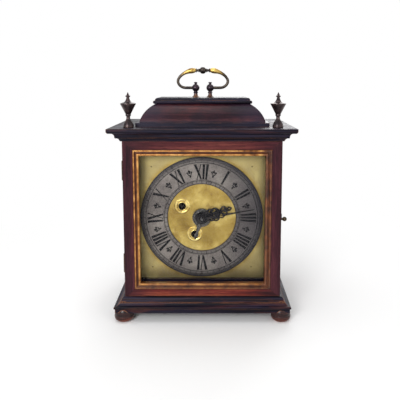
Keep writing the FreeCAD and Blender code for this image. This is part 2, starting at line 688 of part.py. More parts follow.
# ---- dial and hands -------------------------------------------------------------------
alarm_d = (-2.8, -1.9)        # each hand's front and back, behind the dial face
hour_d = (-4.4, -3.2)
minute_d = (-7.2, -6.2)
motion_d = (3.5, 4.7)         # hour wheel and minute pinion
cannon_d = (6.6, 8.0)         # cannon pinion and minute wheel
arbor_front = -10.8
hand_pin_d = -9.75
pipe_r = 2.4                  # cannon pipe
hour_pipe_r = 3.6
alarm_pipe_r = 4.9
minute_post_r = 1.4


def make_mask():
    half = dial_size / 2 - mask_lap
    y0, y1 = dial_y - mask_t, dial_y
    m = box(-inner_x + fit, inner_x - fit, y0, y1, body_z0, body_z1 - fit)
    return m.cut(box(cx - half, cx + half, y0 - 1, y1 + 1, cz - half, cz + half))


def make_dial_plate():
    h = dial_size / 2
    s = slab([(-h, -h), (h, -h), (h, h), (-h, h)], 0, dial_t)
    tools = [turned_y([(-1, 3, dial_hole_r)]), turned_y([(-1, 3, wind_hole_r + 0.7)], *barrel_at), turned_y([(-1, 3, wind_hole_r + 0.7)], *alarm_at)]
    tools += [turned_y([(-1, 3, 1.6)], su * dial_foot_u, sw * dial_foot_w) for su in (-1, 1) for sw in (-1, 1)]
    return s.cut(tools)


def make_dial_feet():
    out = []
    for su in (-1, 1):
        for sw in (-1, 1):
            f = turned_y([(0, dial_t, 1.6), (dial_t, front_plate_at, 2.8), (front_plate_at, front_plate_at + plate_t + 4, 2.0)], su * dial_foot_u, sw * dial_foot_w)
            d = dial_y + front_plate_at + plate_t + 1.6
            x, z = cx + su * dial_foot_u, cz + sw * dial_foot_w
            pin = rod(0.6, (x - 4, d, z), (x + 4, d, z))
            out += [f.cut(pin), pin]
    return out


def make_chapter_ring():
    return disc(-ring_t, 0, ring_od / 2, bore=ring_id / 2)


def make_collets():
    out = []
    for at in (barrel_at, alarm_at):
        p = [(wind_hole_r, 2.2), (wind_hole_r, -1.0), (wind_hole_r + 0.5, -1.7, wind_hole_r + 1.4, -1.3), (wind_hole_r + 2.4, -0.55), (collet_r - 2.2, -0.9, collet_r - 0.8, -0.8),
             (collet_r, -0.3), (collet_r, 0), (wind_hole_r + 0.7, 0), (wind_hole_r + 0.7, 2.2)]
        face = outline(p, lambda r, d: (cx + at[0] + r, dial_y + d, cz + at[1]))
        s = face.revolve(V(cx + at[0], 0, cz + at[1]), V(0, 1, 0), 360)
        out.append(Part.Solid(s) if s.ShapeType != "Solid" else s)
    return out


def blade(stations):
    """Both sides of a hand from (along, half width) stations."""
    return [(-h, a) for a, h in stations] + [(h, a) for a, h in reversed(stations) if h > 0]


def make_hour_hand():
    d0, d1 = hour_d
    body = slab(blade([(0, 2.6), (6, 2.8), (8.5, 4.2), (12, 5.2), (16, 6.6), (19.5, 7.2), (22.5, 6.4), (25, 4.4), (27, 2.6), (29, 2.0), (30.5, 3.4),
                       (33, 5.2), (36, 5.0), (38.5, 3.2), (40.5, 1.6), (43, 0.5)]), d0, d1)
    s = fused([body, disc(d0, d1, 7.4)])
    holes = [turned_y([(d0 - 1, d1 + 1, hour_pipe_r)])]
    for k in (-1, 1):
        holes.append(slab([(k * a, b) for a, b in [(1.0, 12.5), (3.4, 13.0), (5.4, 17.0), (5.6, 20.0), (3.6, 23.0), (1.0, 24.2)]], d0 - 1, d1 + 1))
        holes.append(slab([(k * a, b) for a, b in [(0.8, 31.6), (3.2, 33.2), (3.0, 35.8), (0.8, 37.4)]], d0 - 1, d1 + 1))
    s = s.cut(holes)
    s.rotate(V(cx, 0, cz), V(0, 1, 0), hour_rest)
    return s


def make_minute_hand():
    d0, d1 = minute_d
    tip = ring_od / 2 - 11.75
    body = slab(blade([(0, 2.4), (5, 2.6), (9, 3.4), (13, 4.6), (17, 5.6), (21, 5.6), (25, 4.2), (29, 2.2), (32, 1.6), (36, 1.2), (tip - 16, 0.9), (tip - 3, 0.65), (tip, 0.3)]), d0, d1)
    s = fused([body, disc(d0, d1, 5.4)])
    holes = [squares(d0 - 1, d1 + 1, (0, 0), 3.4)]
    for k in (-1, 1):
        holes.append(slab([(k * a, b) for a, b in [(0.8, 9.0), (2.2, 10.2), (3.4, 13.5), (4.2, 17.0), (4.2, 20.5), (3.0, 23.6), (0.8, 26.0)]], d0 - 1, d1 + 1))
    s = s.cut(holes)
    s.rotate(V(cx, 0, cz), V(0, 1, 0), minute_rest)
    return s


def make_alarm_hand():
    d0, d1 = alarm_d
    body = slab(blade([(0, 3.0), (10, 2.8), (16, 2.0), (24, 1.6), (27, 2.2), (29.5, 1.5), (31.7, 0.3)]), d0, d1)
    s = fused([body, disc(d0, d1, 11.5), turned_y([(d1, 2.2, alarm_pipe_r)])]).cut(turned_y([(-5, 5, hour_pipe_r + 0.05)]))
    s.rotate(V(cx, 0, cz), V(0, 1, 0), alarm_rest)
    return s


# ---- movement -------------------------------------------------------------------------
fp0, fp1 = front_plate_at, front_plate_at + plate_t
bp0, bp1 = back_in, back_in + plate_t
centre_m = 2 * centre_dist / 72
third_m = 2 * third_dist / 78
escape_m = 2 * escape_dist / 72
cannon_m = 2 * motion_dist / 96
hour_m = 2 * motion_dist / 90
alarm_m = 2 * alarm_dist / 60
ORIGIN = (0.0, 0.0)
arbor_holes = {}


def pivots(at, r=pivot_r, front=True, back=True):
    """Pivots that run in the plates; their holes are kept for the plates."""
    steps = []
    if front:
        steps.append((fp0, fp1 + play + 0.1, r))
        arbor_holes.setdefault("front", []).append((at, r + run))
    if back:
        steps.append((bp0 - play - 0.1, bp1, r))
        arbor_holes.setdefault("back", []).append((at, r + run))
    return steps


def make_plate(which):
    d0, d1 = (fp0, fp1) if which == "front" else (bp0, bp1)
    h = plate_w / 2
    c = 6.0
    pts = [(-h, -plate_lo), (h, -plate_lo), (h, plate_hi - c), (h - c, plate_hi), (-h + c, plate_hi), (-h, plate_hi - c)]
    s = slab(pts, d0, d1)
    tools = [turned_y([(d0 - 1, d1 + 1, r)], *at) for at, r in arbor_holes[which]]
    tools += [turned_y([(d0 - 1, d1 + 1, 3.0)], su * pillar_u, sw * pillar_w) for su in (-1, 1) for sw in (-1, 1)]
    if which == "front":
        tools += [turned_y([(d0 - 1, d1 + 1, 2.0)], su * dial_foot_u, sw * dial_foot_w) for su in (-1, 1) for sw in (-1, 1)]
        tools += [turned_y([(d0 - 1, d1 + 1, 1.2)], *p) for p in screw_places()]
        tools.append(turned_y([(d0 - 1, d1 + 1, minute_post_r)], *minute_at))
    return s.cut(tools)


def make_minute_post():
    return turned_y([(motion_d[0] - 1.3, fp1, minute_post_r)], *minute_at)


def make_pillars():
    out = []
    for su in (-1, 1):
        for sw in (-1, 1):
            u, w = su * pillar_u, sw * pillar_w
            m, q = (fp1 + bp0) / 2, 6.0
            p = [(0, fp0 - 3.5), (2.0, fp0 - 3.5), (2.2, fp0 - 0.1), (3.0, fp0 - 0.1), (3.0, fp1), (pillar_r + 1.3, fp1), (pillar_r + 1.3, fp1 + 2.2), (3.2, fp1 + 3.4),
                 (3.6, m - q - 3), (pillar_r, m - q), (pillar_r, m + q), (3.6, m + q + 3), (3.2, bp0 - 3.4), (pillar_r + 1.3, bp0 - 2.2), (pillar_r + 1.3, bp0), (3.0, bp0), (3.0, bp1), (0, bp1)]
            face = outline(p, lambda r, d: (cx + u + r, dial_y + d, cz + w))
            s = face.revolve(V(cx + u, 0, cz + w), V(0, 1, 0), 360)
            s = Part.Solid(s) if s.ShapeType != "Solid" else s
            x, z, y = cx + u, cz + w, dial_y + fp0 - 1.3
            pin = rod(0.7, (x, y, z - 4.2), (x, y, z + 4.2))
            s = s.cut(pin)
            if sw < 0:
                s = s.cut(seat_bolt_shank(su))
            out += [s, pin]
    return out


def seat_bolt_y():
    return dial_y + (fp1 + bp0) / 2


def seat_z():
    return cz - plate_lo


def seat_bolt_shank(su):
    x, y = cx + su * pillar_u, seat_bolt_y()
    return rod(seat_bolt_r, (x, y, seat_z() - seat_t - 1), (x, y, cz - pillar_w + 1.5))


def make_seat():
    y0, y1 = dial_y + fp0 - seat_front, dial_y + bp1 + seat_behind
    z1 = seat_z()
    z0 = z1 - seat_t
    board = box(-inner_x + fit, inner_x - fit, y0, y1, z0, z1).cut([seat_bolt_shank(s) for s in (-1, 1)])
    cleat = box(inner_x - 10.0, inner_x, y0, y1, z0 - cleat_h, z0)
    return [board, cleat, mirror_x(cleat)]


def make_seat_bolts():
    out = []
    z0 = seat_z() - seat_t
    for su in (-1, 1):
        x, y = cx + su * pillar_u, seat_bolt_y()
        head = rod(4.5, (x, y, z0 - 3.2), (x, y, z0)).cut(box(x - 5, x + 5, y - 0.5, y + 0.5, z0 - 4, z0 - 2.0))
        out.append(fused([seat_bolt_shank(su).common(box(x - 9, x + 9, y - 9, y + 9, z0 - 0.5, cz)), head]))
    return out


def make_centre_arbor():
    """Arbor and eight-leaf pinion in one piece, and the centre wheel on its collet."""
    arbor = fused([turned_y([(arbor_front, fp1 + play, 1.5), (fp1 + play, bp0 - play, 1.8), (bp0 - play - 0.1, bp1, 1.0)]),
                   pinion(8, centre_m, bp0 - 14.0, bp0 - 8.5, ORIGIN, barrel_at)])
    arbor_holes.setdefault("front", []).append((ORIGIN, 1.5 + run))
    arbor_holes.setdefault("back", []).append((ORIGIN, 1.0 + run))
    arbor = arbor.cut(hand_pin())
    w = wheel(72, third_m, 3 * third_m, bp0 - 5.0, bp0 - 3.5, ORIGIN, third_at, 1.8, hub=5.0)
    collet = disc(bp0 - 3.5, bp0 - 1.2, 4.0, bore=1.8)
    return [arbor, w, collet]


def make_cannon():
    teeth = pinion(24, cannon_m, *cannon_d, ORIGIN, minute_at, thick=0.42, ded=1.2, tip=0.7)
    s = fused([teeth, turned_y([(minute_d[1], cannon_d[0] + 0.1, pipe_r)]), turned_y([(cannon_d[1] - 0.1, fp0 - 0.15, 3.2)]),
               slab([(-1.7, -1.7), (1.7, -1.7), (1.7, 1.7), (-1.7, 1.7)], minute_d[0] - 0.2, minute_d[1], turn=minute_rest)])
    return s.cut(turned_y([(-8, fp0, 1.5)]))


def hand_pin():
    return rod(0.45, (cx - 4.6, dial_y + hand_pin_d, cz), (cx + 4.6, dial_y + hand_pin_d, cz))


def make_hand_collet():
    f, b = hand_pin_d + 0.5, minute_d[0] - 0.2
    p = [(1.5, f), (2.0, f), (3.2, f + 0.45, 3.6, f + 1.35), (3.6, b), (1.5, b)]
    face = outline(p, lambda r, d: (cx + r, dial_y + d, cz))
    s = face.revolve(V(cx, 0, cz), V(0, 1, 0), 360)
    return [Part.Solid(s) if s.ShapeType != "Solid" else s, hand_pin()]


def make_hour_wheel():
    w = wheel(72, hour_m, 9 * hour_m, *motion_d, ORIGIN, minute_at, pipe_r + run, hub=5.5)
    pipe = disc(hour_d[0], motion_d[0] + 0.1, hour_pipe_r, bore=pipe_r + run)
    return fused([w, pipe])


def make_minute_wheel():
    w = wheel(72, cannon_m, 12 * cannon_m, *cannon_d, minute_at, ORIGIN, minute_post_r + run, hub=4.5)
    p = pinion(18, hour_m, *motion_d, minute_at, ORIGIN, thick=0.42, ded=1.2, tip=0.7)
    hub = turned_y([(motion_d[1] - 0.1, fp0 - 0.15, 2.6)], *minute_at)
    return fused([w, p, hub]).cut(turned_y([(0, 10, minute_post_r + run)], *minute_at))


def make_barrel():
    d0, d1 = fp1 + 11.5, bp0 - 12.5
    drum = disc(d0, d1, barrel_r, *barrel_at).cut([disc(d0 + 1.5, d1 + 1, barrel_r - 1.2, *barrel_at), turned_y([(d0 - 1, d1, 3.0 + run)], *barrel_at)])
    w = wheel(64, centre_m, 4 * centre_m, d1, d1 + 2.5, barrel_at, ORIGIN, 3.0 + run)
    return [drum, w]


def spiral(r0, r1, turns, thick, d0, d1, at, start=0.0):
    """A flat coiled spring of straight facets between two radii."""
    n = int(turns * 20)
    inner, outer = [], []
    for i in range(n + 1):
        t = i / n
        r, a = r0 + (r1 - thick - r0) * t, start + 2 * math.pi * turns * t
        inner.append((r * math.cos(a), r * math.sin(a)))
        outer.append(((r + thick) * math.cos(a), (r + thick) * math.sin(a)))
    return slab(inner + outer[::-1], d0, d1, *at)


def make_going_spring():
    d0, d1 = fp1 + 11.5, bp0 - 12.5
    return spiral(6.4, barrel_r - 1.5, 6.0, 0.45, d0 + 2.3, d1 - 0.8, barrel_at)


def make_winding_arbor(at, h0, h1, hub_r, body, ratchet_r):
    """Arbor, spring hub and winding square in one piece, and the ratchet on it in front of the plate."""
    back = body - 0.8
    s = fused([squares(-1.0, 6.9, at, wind_square), turned_y([(6.8, fp1 + play, 2.6), (fp1 + play, bp0 - play, body), (h0, h1, hub_r), (bp0 - play - 0.1, bp1, back)], *at)])
    arbor_holes.setdefault("front", []).append((at, 2.6 + run))
    arbor_holes.setdefault("back", []).append((at, back + run))
    return [s.Solids[0], ratchet(ratchet_teeth, ratchet_r, 1.3, 6.9, 8.5, at, click_phase(at), 2.6)]


click_throw = 12.2         # click pivot beside the ratchet's centre
click_rise = -0.45        # click pivot outwards of the ratchet's tips
click_r = 2.4
spring_off = 2.75         # blade of the click spring from the line of the click


def click_phase(at):
    return math.pi / 2 if at is barrel_at else -math.pi / 2


def beside(at, points):
    """Points given for a ratchet whose click lies on top, turned to where this ratchet has its click."""
    a = click_phase(at) - math.pi / 2
    c, s = math.cos(a), math.sin(a)
    return [(at[0] + x * c - y * s, at[1] + x * s + y * c) for x, y in points]


def click_pivot(at, r):
    return beside(at, [(click_throw, r + click_rise)])[0]


def screw_places():
    return [click_pivot(barrel_at, going_ratchet_r), click_pivot(alarm_at, alarm_ratchet_r)]


def make_click(at, r):
    """The nose stands in the root of a tooth, against its steep face; the eye turns on a shouldered screw."""
    t, q = click_throw, r + click_rise
    pts = [(0.12, r - 1.05), (1.6, r - 0.35), (2.9, r + 0.12), (5.6, r - 0.6), (9.2, q - 1.3), (t - 0.3, q - 2.3), (t - 0.6, q + 2.3),
           (8.0, q + 1.7), (4.0, q + 2.2), (1.2, q + 1.9), (0.12, q + 0.6)]
    body = slab(beside(at, pts), 6.9, 8.5)
    piv = click_pivot(at, r)
    return fused([body, turned_y([(6.9, 8.5, click_r)], *piv)]).cut(turned_y([(5, 9, 1.2 + run)], *piv))


def make_click_screws_and_springs():
    out = []
    for at, r in ((barrel_at, going_ratchet_r), (alarm_at, alarm_ratchet_r)):
        out.append(turned_y([(6.1, 6.8, 2.2), (6.7, fp1, 1.2)], *click_pivot(at, r)))
        t, q = click_throw, r + click_rise
        L = math.hypot(t, click_rise + 1.05)
        dx, dy = -t / L, -(click_rise + 1.05) / L

        def along(p, n):
            return (t + dx * p + dy * n, q + dy * p - dx * n)
        blade_pts = [along(3.5, spring_off), along(-10.0, spring_off), along(-10.0, spring_off + 0.45), along(3.5, spring_off + 0.45)]
        foot_pts = [along(-9.0, spring_off), along(-12.5, spring_off), along(-12.5, spring_off + 3.2), along(-9.0, spring_off + 3.2)]
        out.append(fused([slab(beside(at, blade_pts), 7.2, 8.4), slab(beside(at, foot_pts), 7.2, fp0)]))
    return out


def make_third():
    arbor = fused([turned_y(pivots(third_at) + [(fp1 + play, bp0 - play, 1.0)], *third_at),
                   pinion(6, third_m, bp0 - 6.5, bp0 - 2.0, third_at, ORIGIN)])
    w = wheel(66, escape_m, 3 * escape_m, fp1 + 2.5, fp1 + 3.9, third_at, escape_at, 1.0, hub=4.0)
    collet = disc(fp1 + 3.9, fp1 + 6.2, 3.0, *third_at, bore=1.0)
    return [arbor, w, collet]


def make_escape():
    arbor = fused([turned_y(pivots(escape_at) + [(fp1 + play, bp0 - play, 0.9)], *escape_at),
                   pinion(6, escape_m, fp1 + 1.0, fp1 + 5.5, escape_at, third_at)])
    n, pts = 36, []
    for k in range(n):
        a = 2 * math.pi * k / n
        b = 2 * math.pi / n
        pts += [((escape_r - 1.9) * math.cos(a), (escape_r - 1.9) * math.sin(a)), (escape_r * math.cos(a + 0.16 * b), escape_r * math.sin(a + 0.16 * b)),
                (escape_r * math.cos(a + 0.24 * b), escape_r * math.sin(a + 0.24 * b)), ((escape_r - 1.9) * math.cos(a + 0.62 * b), (escape_r - 1.9) * math.sin(a + 0.62 * b))]
    w = slab(pts, fp1 + 11.5, fp1 + 13.0, *escape_at)
    gap = disc(fp1 + 10, fp1 + 14, escape_r - 4.0, *escape_at).cut([disc(fp1 + 9, fp1 + 15, 3.4, *escape_at),
          slab([(-1, -20), (1, -20), (1, 20), (-1, 20)], fp1 + 9, fp1 + 15, *escape_at), slab([(-20, -1), (20, -1), (20, 1), (-20, 1)], fp1 + 9, fp1 + 15, *escape_at)])
    w = w.cut(gap).cut(turned_y([(20, 30, 0.9)], *escape_at))
    collet = disc(fp1 + 13.0, fp1 + 15.0, 2.4, *escape_at, bore=0.9)
    return [arbor, w, collet]


pend_d = bp1 + 9.0        # depth of the pendulum behind the dial face
cock_d = bp1 + 13.0


def make_anchor():
    """Pallet arbor with its recoil anchor; the pallets stand just off the escape wheel."""
    arbor = turned_y([(fp0, fp1 + play + 0.1, pivot_r), (fp1 + play, cock_d - play, 1.4), (cock_d - play - 0.1, cock_d + 2.0, pivot_r)], *pallet_at)
    arbor_holes.setdefault("front", []).append((pallet_at, pivot_r + run))
    arbor_holes.setdefault("back", []).append((pallet_at, 2.4))
    q = escape_r / math.sqrt(2)
    half = [(0, 3.4), (3.0, 2.6), (q + 3.6, -q + 2.4), (q + 3.4, -q - 1.6), (q + 0.85, -q + 0.85), (q - 0.4, -q + 2.1), (4.2, -2.2), (0, -2.6)]
    pts = half + [(-a, b) for a, b in reversed(half[1:-1])]
    anchor = slab(pts, fp1 + 10.0, fp1 + 14.5, *pallet_at).cut(turned_y([(10, 40, 1.4)], *pallet_at))
    return [arbor, anchor]


def make_cock():
    z = pallet_at[1]
    s = fused([slab([(-13, z - 6), (13, z - 6), (13, z + 6), (-13, z + 6)], cock_d, cock_d + 2.0),
               slab([(-13, z - 6), (-10.5, z - 6), (-10.5, z + 6), (-13, z + 6)], bp1, cock_d + 2.0),
               slab([(10.5, z - 6), (13, z - 6), (13, z + 6), (10.5, z + 6)], bp1, cock_d + 2.0),
               slab([(-22, z - 6), (-10.5, z - 6), (-10.5, z + 6), (-22, z + 6)], bp1, bp1 + 2.0),
               slab([(10.5, z - 6), (22, z - 6), (22, z + 6), (10.5, z + 6)], bp1, bp1 + 2.0)])
    s = s.cut(turned_y([(cock_d - 1, cock_d + 3, pivot_r + run)], *pallet_at))
    screws = []
    for u in (-18, 18):
        s = s.cut(turned_y([(bp1 - 1, bp1 + 2.0, 1.3)], u, z))
        screws.append(turned_y([(bp1, bp1 + 2.05, 1.3), (bp1 + 2.0, bp1 + 3.4, 2.6)], u, z).cut(slab([(u - 3, z - 0.35), (u + 3, z - 0.35), (u + 3, z + 0.35), (u - 3, z + 0.35)], bp1 + 2.8, bp1 + 5)))
    return [s] + screws


def make_pendulum():
    u, w = pallet_at
    hub = disc(pend_d - 2.0, pend_d + 2.0, 3.2, u, w, bore=1.4)
    rod_ = Part.makeCylinder(1.1, pendulum_len + bob_r + 4.0, V(cx, dial_y + pend_d, cz + w - 2.5), V(0, 0, -1))
    steel = fused([hub, rod_.cut(turned_y([(pend_d - 5, pend_d + 5, 3.0)], u, w))])
    zb = cz + w - pendulum_len
    p = [(0, -3.4), (bob_r - 3.0, -2.6, bob_r, 0), (bob_r - 3.0, 2.6, 0, 3.4)]
    face = outline(p, lambda r, d: (cx + r, dial_y + pend_d + d, zb))
    bob = face.revolve(V(cx, 0, zb), V(0, 1, 0), 360)
    bob = Part.Solid(bob) if bob.ShapeType != "Solid" else bob
    bob = bob.cut(rod(1.1, (cx, dial_y + pend_d, zb - 40), (cx, dial_y + pend_d, zb + 40)))
    nut = rod(2.6, (cx, dial_y + pend_d, zb - bob_r - 2.6), (cx, dial_y + pend_d, zb - bob_r - 0.1)).cut(rod(1.1, (cx, dial_y + pend_d, zb - 40), (cx, dial_y + pend_d, zb + 40)))
    return [steel, nut, bob]


def make_alarm_drum():
    d0, d1 = fp1 + 9.5, fp1 + 33.5
    drum = disc(d0, d1, alarm_drum_r, *alarm_at).cut([disc(d0 - 1, d1 - 1.4, alarm_drum_r - 1.1, *alarm_at), turned_y([(d0 - 1, d1 + 1, 2.5 + run)], *alarm_at)])
    w = wheel(54, alarm_m, 3 * alarm_m, d0 - 2.0, d0, alarm_at, crown_at, 2.5 + run)
    return [drum, w]


def make_alarm_spring():
    d0, d1 = fp1 + 9.5, fp1 + 33.5
    return spiral(4.9, alarm_drum_r - 1.4, 5.0, 0.4, d0 + 0.8, d1 - 2.2, alarm_at)


def make_crown_wheel():
    arbor = fused([turned_y(pivots(crown_at) + [(fp1 + play, bp0 - play, 1.1)], *crown_at),
                   pinion(6, alarm_m, fp1 + 6.5, fp1 + 10.5, crown_at, alarm_at)])
    n, pts = 15, []
    for k in range(n):
        a, b = 2 * math.pi * k / n, 2 * math.pi / n
        pts += [((crown_r - 2.6) * math.cos(a), (crown_r - 2.6) * math.sin(a)), (crown_r * math.cos(a + 0.2 * b), crown_r * math.sin(a + 0.2 * b)),
                (crown_r * math.cos(a + 0.28 * b), crown_r * math.sin(a + 0.28 * b)), ((crown_r - 2.6) * math.cos(a + 0.7 * b), (crown_r - 2.6) * math.sin(a + 0.7 * b))]
    w = slab(pts, fp1 + 36.5, fp1 + 38.0, *crown_at).cut(turned_y([(30, 60, 1.1)], *crown_at))
    collet = disc(fp1 + 38.0, fp1 + 40.0, 2.8, *crown_at, bore=1.1)
    return [arbor, w, collet]


def bell_z():
    return body_z1 - 2.1 - bell_h


def make_hammer():
    """Verge arbor of the alarm: two pallets at the wheel, and a stem up to the hammer head beside the bell."""
    arbor = turned_y(pivots(hammer_at) + [(fp1 + play, bp0 - play, 1.3)], *hammer_at)
    hub = turned_y([(fp1 + 35.5, fp1 + 39.0, 2.6), (bell_depth - 3, bell_depth + 3, 3.0)], *hammer_at)
    arms = []
    for k in (-1, 1):
        a = math.radians(180 + 24 * k)
        c, s = math.cos(a), math.sin(a)
        arms.append(slab([(x * c - y * s, x * s + y * c) for x, y in [(0, -0.9), (7.0, -0.7), (7.0, 0.7), (0, 0.9)]], fp1 + 36.0, fp1 + 38.5, *hammer_at))
    head_w = bell_z() + 4.6 - cz
    head_u = -cx + bell_r + 3.7
    x0, z0 = cx + hammer_at[0], cz + hammer_at[1]
    stem = rod(1.0, (x0, dial_y + bell_depth, z0), (cx + head_u + 4.0, dial_y + bell_depth, cz + head_w))
    head = rod(3.5, (cx + head_u, dial_y + bell_depth, cz + head_w), (cx + head_u + 8.0, dial_y + bell_depth, cz + head_w))
    return fused([arbor, hub] + arms + [stem, head])


def make_bell():
    z, r, h, t = bell_z(), bell_r, bell_h, bell_wall
    p = [(r, z), (r - 1.4, z + 8.0, r - 6.5, z + 15.5), (r - 13.0, z + 21.6, 5.0, z + h), (2.05, z + h), (2.05, z + h - t), (5.0, z + h - t), (r - 14.2, z + 19.6, r - 8.3, z + 14.4),
         (r - 3.4, z + 7.4, r - t, z)]
    return turned(p, (0, dial_y + bell_depth, 0))


def make_bell_stud():
    y, z = dial_y + bell_depth, bell_z() + bell_h
    stud = fused([rod(2.0, (0, y, z - 6.0), (0, y, body_z1 + top_board_t - 2.0)), rod(5.5, (0, y, z), (0, y, body_z1))])
    nut = rod(4.0, (0, y, z - bell_wall - 3.0), (0, y, z - bell_wall)).cut(rod(2.0, (0, y, z - 9), (0, y, z + 2)))
    return [stud, nut]


# ---- all pieces -----------------------------------------------------------------------
def save(name, shape):
    s = Part.makeCompound(shape) if isinstance(shape, list) else shape
    if not s.isValid():
        print("INVALID", name)
    s.exportStep("parts/" + name + ".step")
    print("%-32s %2d solids %10.1f mm3" % (name, len(s.Solids), s.Volume))


os.makedirs("parts", exist_ok=True)

front_fixed = [hinge_fixed(p) for p in front_places()]
rear_fixed = [hinge_fixed(p) for p in rear_places()]
front_moving = [hinge_moving(p) for p in front_places()]
rear_moving = [hinge_moving(p) for p in rear_places()]

save("bun_feet", make_feet())
save("base_mouldings", make_base_mouldings())
save("base_board", make_base_board())
save("side_boards", make_side_boards([f[0] for f in front_fixed], [f[0] for f in rear_fixed]))
save("side_window_glasses", make_side_glasses())
save("side_window_beads", make_window_beads())
save("top_board", make_top_board())
save("cornice_mouldings", make_cornice())
save("dome_top", make_dome())
save("dome_cap", make_cap())
save("handle_posts", make_posts())
save("carrying_handle", make_bail())
save("finials", make_finials())
save("case_hinge_leaves", [s for f in front_fixed + rear_fixed for s in f])
save("front_door_hinge_leaves", front_moving)
save("front_door_frame", make_front_frame(front_moving))
save("front_door_sight_edge", make_sight_edge())
save("front_door_glass", make_front_glass())
save("latch_stud", make_stud())
save("latch_hook", make_hook())
save("catch_pivot_screws", make_pivot_screws())
save("rear_turn_button", make_turn_button())
save("rear_door_hinge_leaves", rear_moving)
save("rear_door_frame", make_rear_frame(rear_moving))
save("rear_door_glass", make_rear_glass())
save("dial_mask", make_mask())
save("dial_plate", [make_dial_plate()] + make_dial_feet())
save("chapter_ring", make_chapter_ring())
save("winding_hole_collets", make_collets())
save("hour_hand", make_hour_hand())
save("minute_hand", make_minute_hand())
save("alarm_hand", make_alarm_hand())
save("hand_collet_and_pin", make_hand_collet())
save("centre_wheel_and_arbor", make_centre_arbor())
save("cannon_pinion", make_cannon())
save("hour_wheel", make_hour_wheel())
save("minute_wheel", make_minute_wheel())
save("going_barrel", make_barrel())
save("going_mainspring", make_going_spring())
save("going_winding_arbor", make_winding_arbor(barrel_at, fp1 + 13.5, bp0 - 13.0, 6.0, 3.0, going_ratchet_r))
save("going_click", make_click(barrel_at, going_ratchet_r))
save("third_wheel_and_arbor", make_third())
save("escape_wheel_and_arbor", make_escape())
save("pallet_anchor", make_anchor())
save("pendulum_cock", make_cock())
save("pendulum", make_pendulum())
save("alarm_barrel", make_alarm_drum())
save("alarm_mainspring", make_alarm_spring())
save("alarm_winding_arbor", make_winding_arbor(alarm_at, fp1 + 10.0, fp1 + 31.7, 4.6, 2.5, alarm_ratchet_r))
save("alarm_click", make_click(alarm_at, alarm_ratchet_r))
save("click_screws_and_springs", make_click_screws_and_springs())
save("alarm_crown_wheel", make_crown_wheel())
save("alarm_hammer", make_hammer())
save("alarm_bell", make_bell())
save("alarm_bell_stud", make_bell_stud())
save("front_plate", [make_plate("front"), make_minute_post()])
save("back_plate", make_plate("back"))
save("plate_pillars", make_pillars())
save("seat_board", make_seat())
save("seat_bolts", make_seat_bolts())
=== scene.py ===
import bmesh
import bpy
import json
import math
from mathutils import Matrix, Vector

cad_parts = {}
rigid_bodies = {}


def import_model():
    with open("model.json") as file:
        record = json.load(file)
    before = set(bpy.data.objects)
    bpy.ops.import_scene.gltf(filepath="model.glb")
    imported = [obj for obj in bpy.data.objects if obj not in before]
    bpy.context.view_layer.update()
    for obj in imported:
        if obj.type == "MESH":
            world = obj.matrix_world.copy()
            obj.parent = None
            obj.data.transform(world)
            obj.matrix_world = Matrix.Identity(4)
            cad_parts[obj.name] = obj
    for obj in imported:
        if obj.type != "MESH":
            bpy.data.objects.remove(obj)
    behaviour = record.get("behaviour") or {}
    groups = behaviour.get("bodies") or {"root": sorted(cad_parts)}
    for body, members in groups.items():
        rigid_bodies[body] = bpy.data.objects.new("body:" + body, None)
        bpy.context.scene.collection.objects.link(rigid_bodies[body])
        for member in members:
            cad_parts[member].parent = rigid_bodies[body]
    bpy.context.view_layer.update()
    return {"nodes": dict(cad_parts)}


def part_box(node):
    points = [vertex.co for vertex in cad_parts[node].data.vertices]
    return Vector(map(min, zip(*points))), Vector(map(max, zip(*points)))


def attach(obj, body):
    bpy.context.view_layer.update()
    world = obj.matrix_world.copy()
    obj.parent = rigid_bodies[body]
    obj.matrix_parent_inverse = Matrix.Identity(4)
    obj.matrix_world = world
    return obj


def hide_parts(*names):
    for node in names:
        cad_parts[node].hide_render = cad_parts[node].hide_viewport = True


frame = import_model()
pieces = frame["nodes"]
MM = 0.001

# ---- studio ---------------------------------------------------------------------------
# The clock stands on a plain white table. The camera is a little over the top of the case
# and looks slightly down, as in the picture of it. One large soft lamp is at the upper left.
LOOKS_DOWN = 7
MIDDLE = (0, 0, 0.15)
camera = bpy.data.cameras.new("camera")
camera.sensor_width = 36.0
camera.lens = 42.74
camera.shift_x, camera.shift_y = -0.0254, -0.1455
camera_stand = bpy.data.objects.new("camera", camera)
camera_stand.location = (0.0101, -0.670, 0.311)
camera_stand.rotation_euler = (math.radians(90 - LOOKS_DOWN), 0, 0)
bpy.context.scene.collection.objects.link(camera_stand)
bpy.context.scene.camera = camera_stand
bpy.context.scene.view_settings.view_transform = "Standard"

# Name, place and width in metres, and watts.
LAMPS = [("key_lamp", (-0.5, -1.2, 0.62), 0.5, 11.5),
         ("fill_lamp", (0.95, -0.9, 0.6), 0.8, 1.5),
         ("top_lamp", (-0.2, -0.1, 1.3), 0.8, 4.0),
         ("back_lamp", (0.3, 1.1, 0.8), 0.9, 7.0)]
for lamp, at, width, power in LAMPS:
    light = bpy.data.lights.new(lamp, "AREA")
    light.size, light.energy = width, power
    stand = bpy.data.objects.new(lamp, light)
    stand.location = at
    stand.rotation_euler = (Vector(MIDDLE) - Vector(at)).to_track_quat("-Z", "Y").to_euler()
    bpy.context.scene.collection.objects.link(stand)

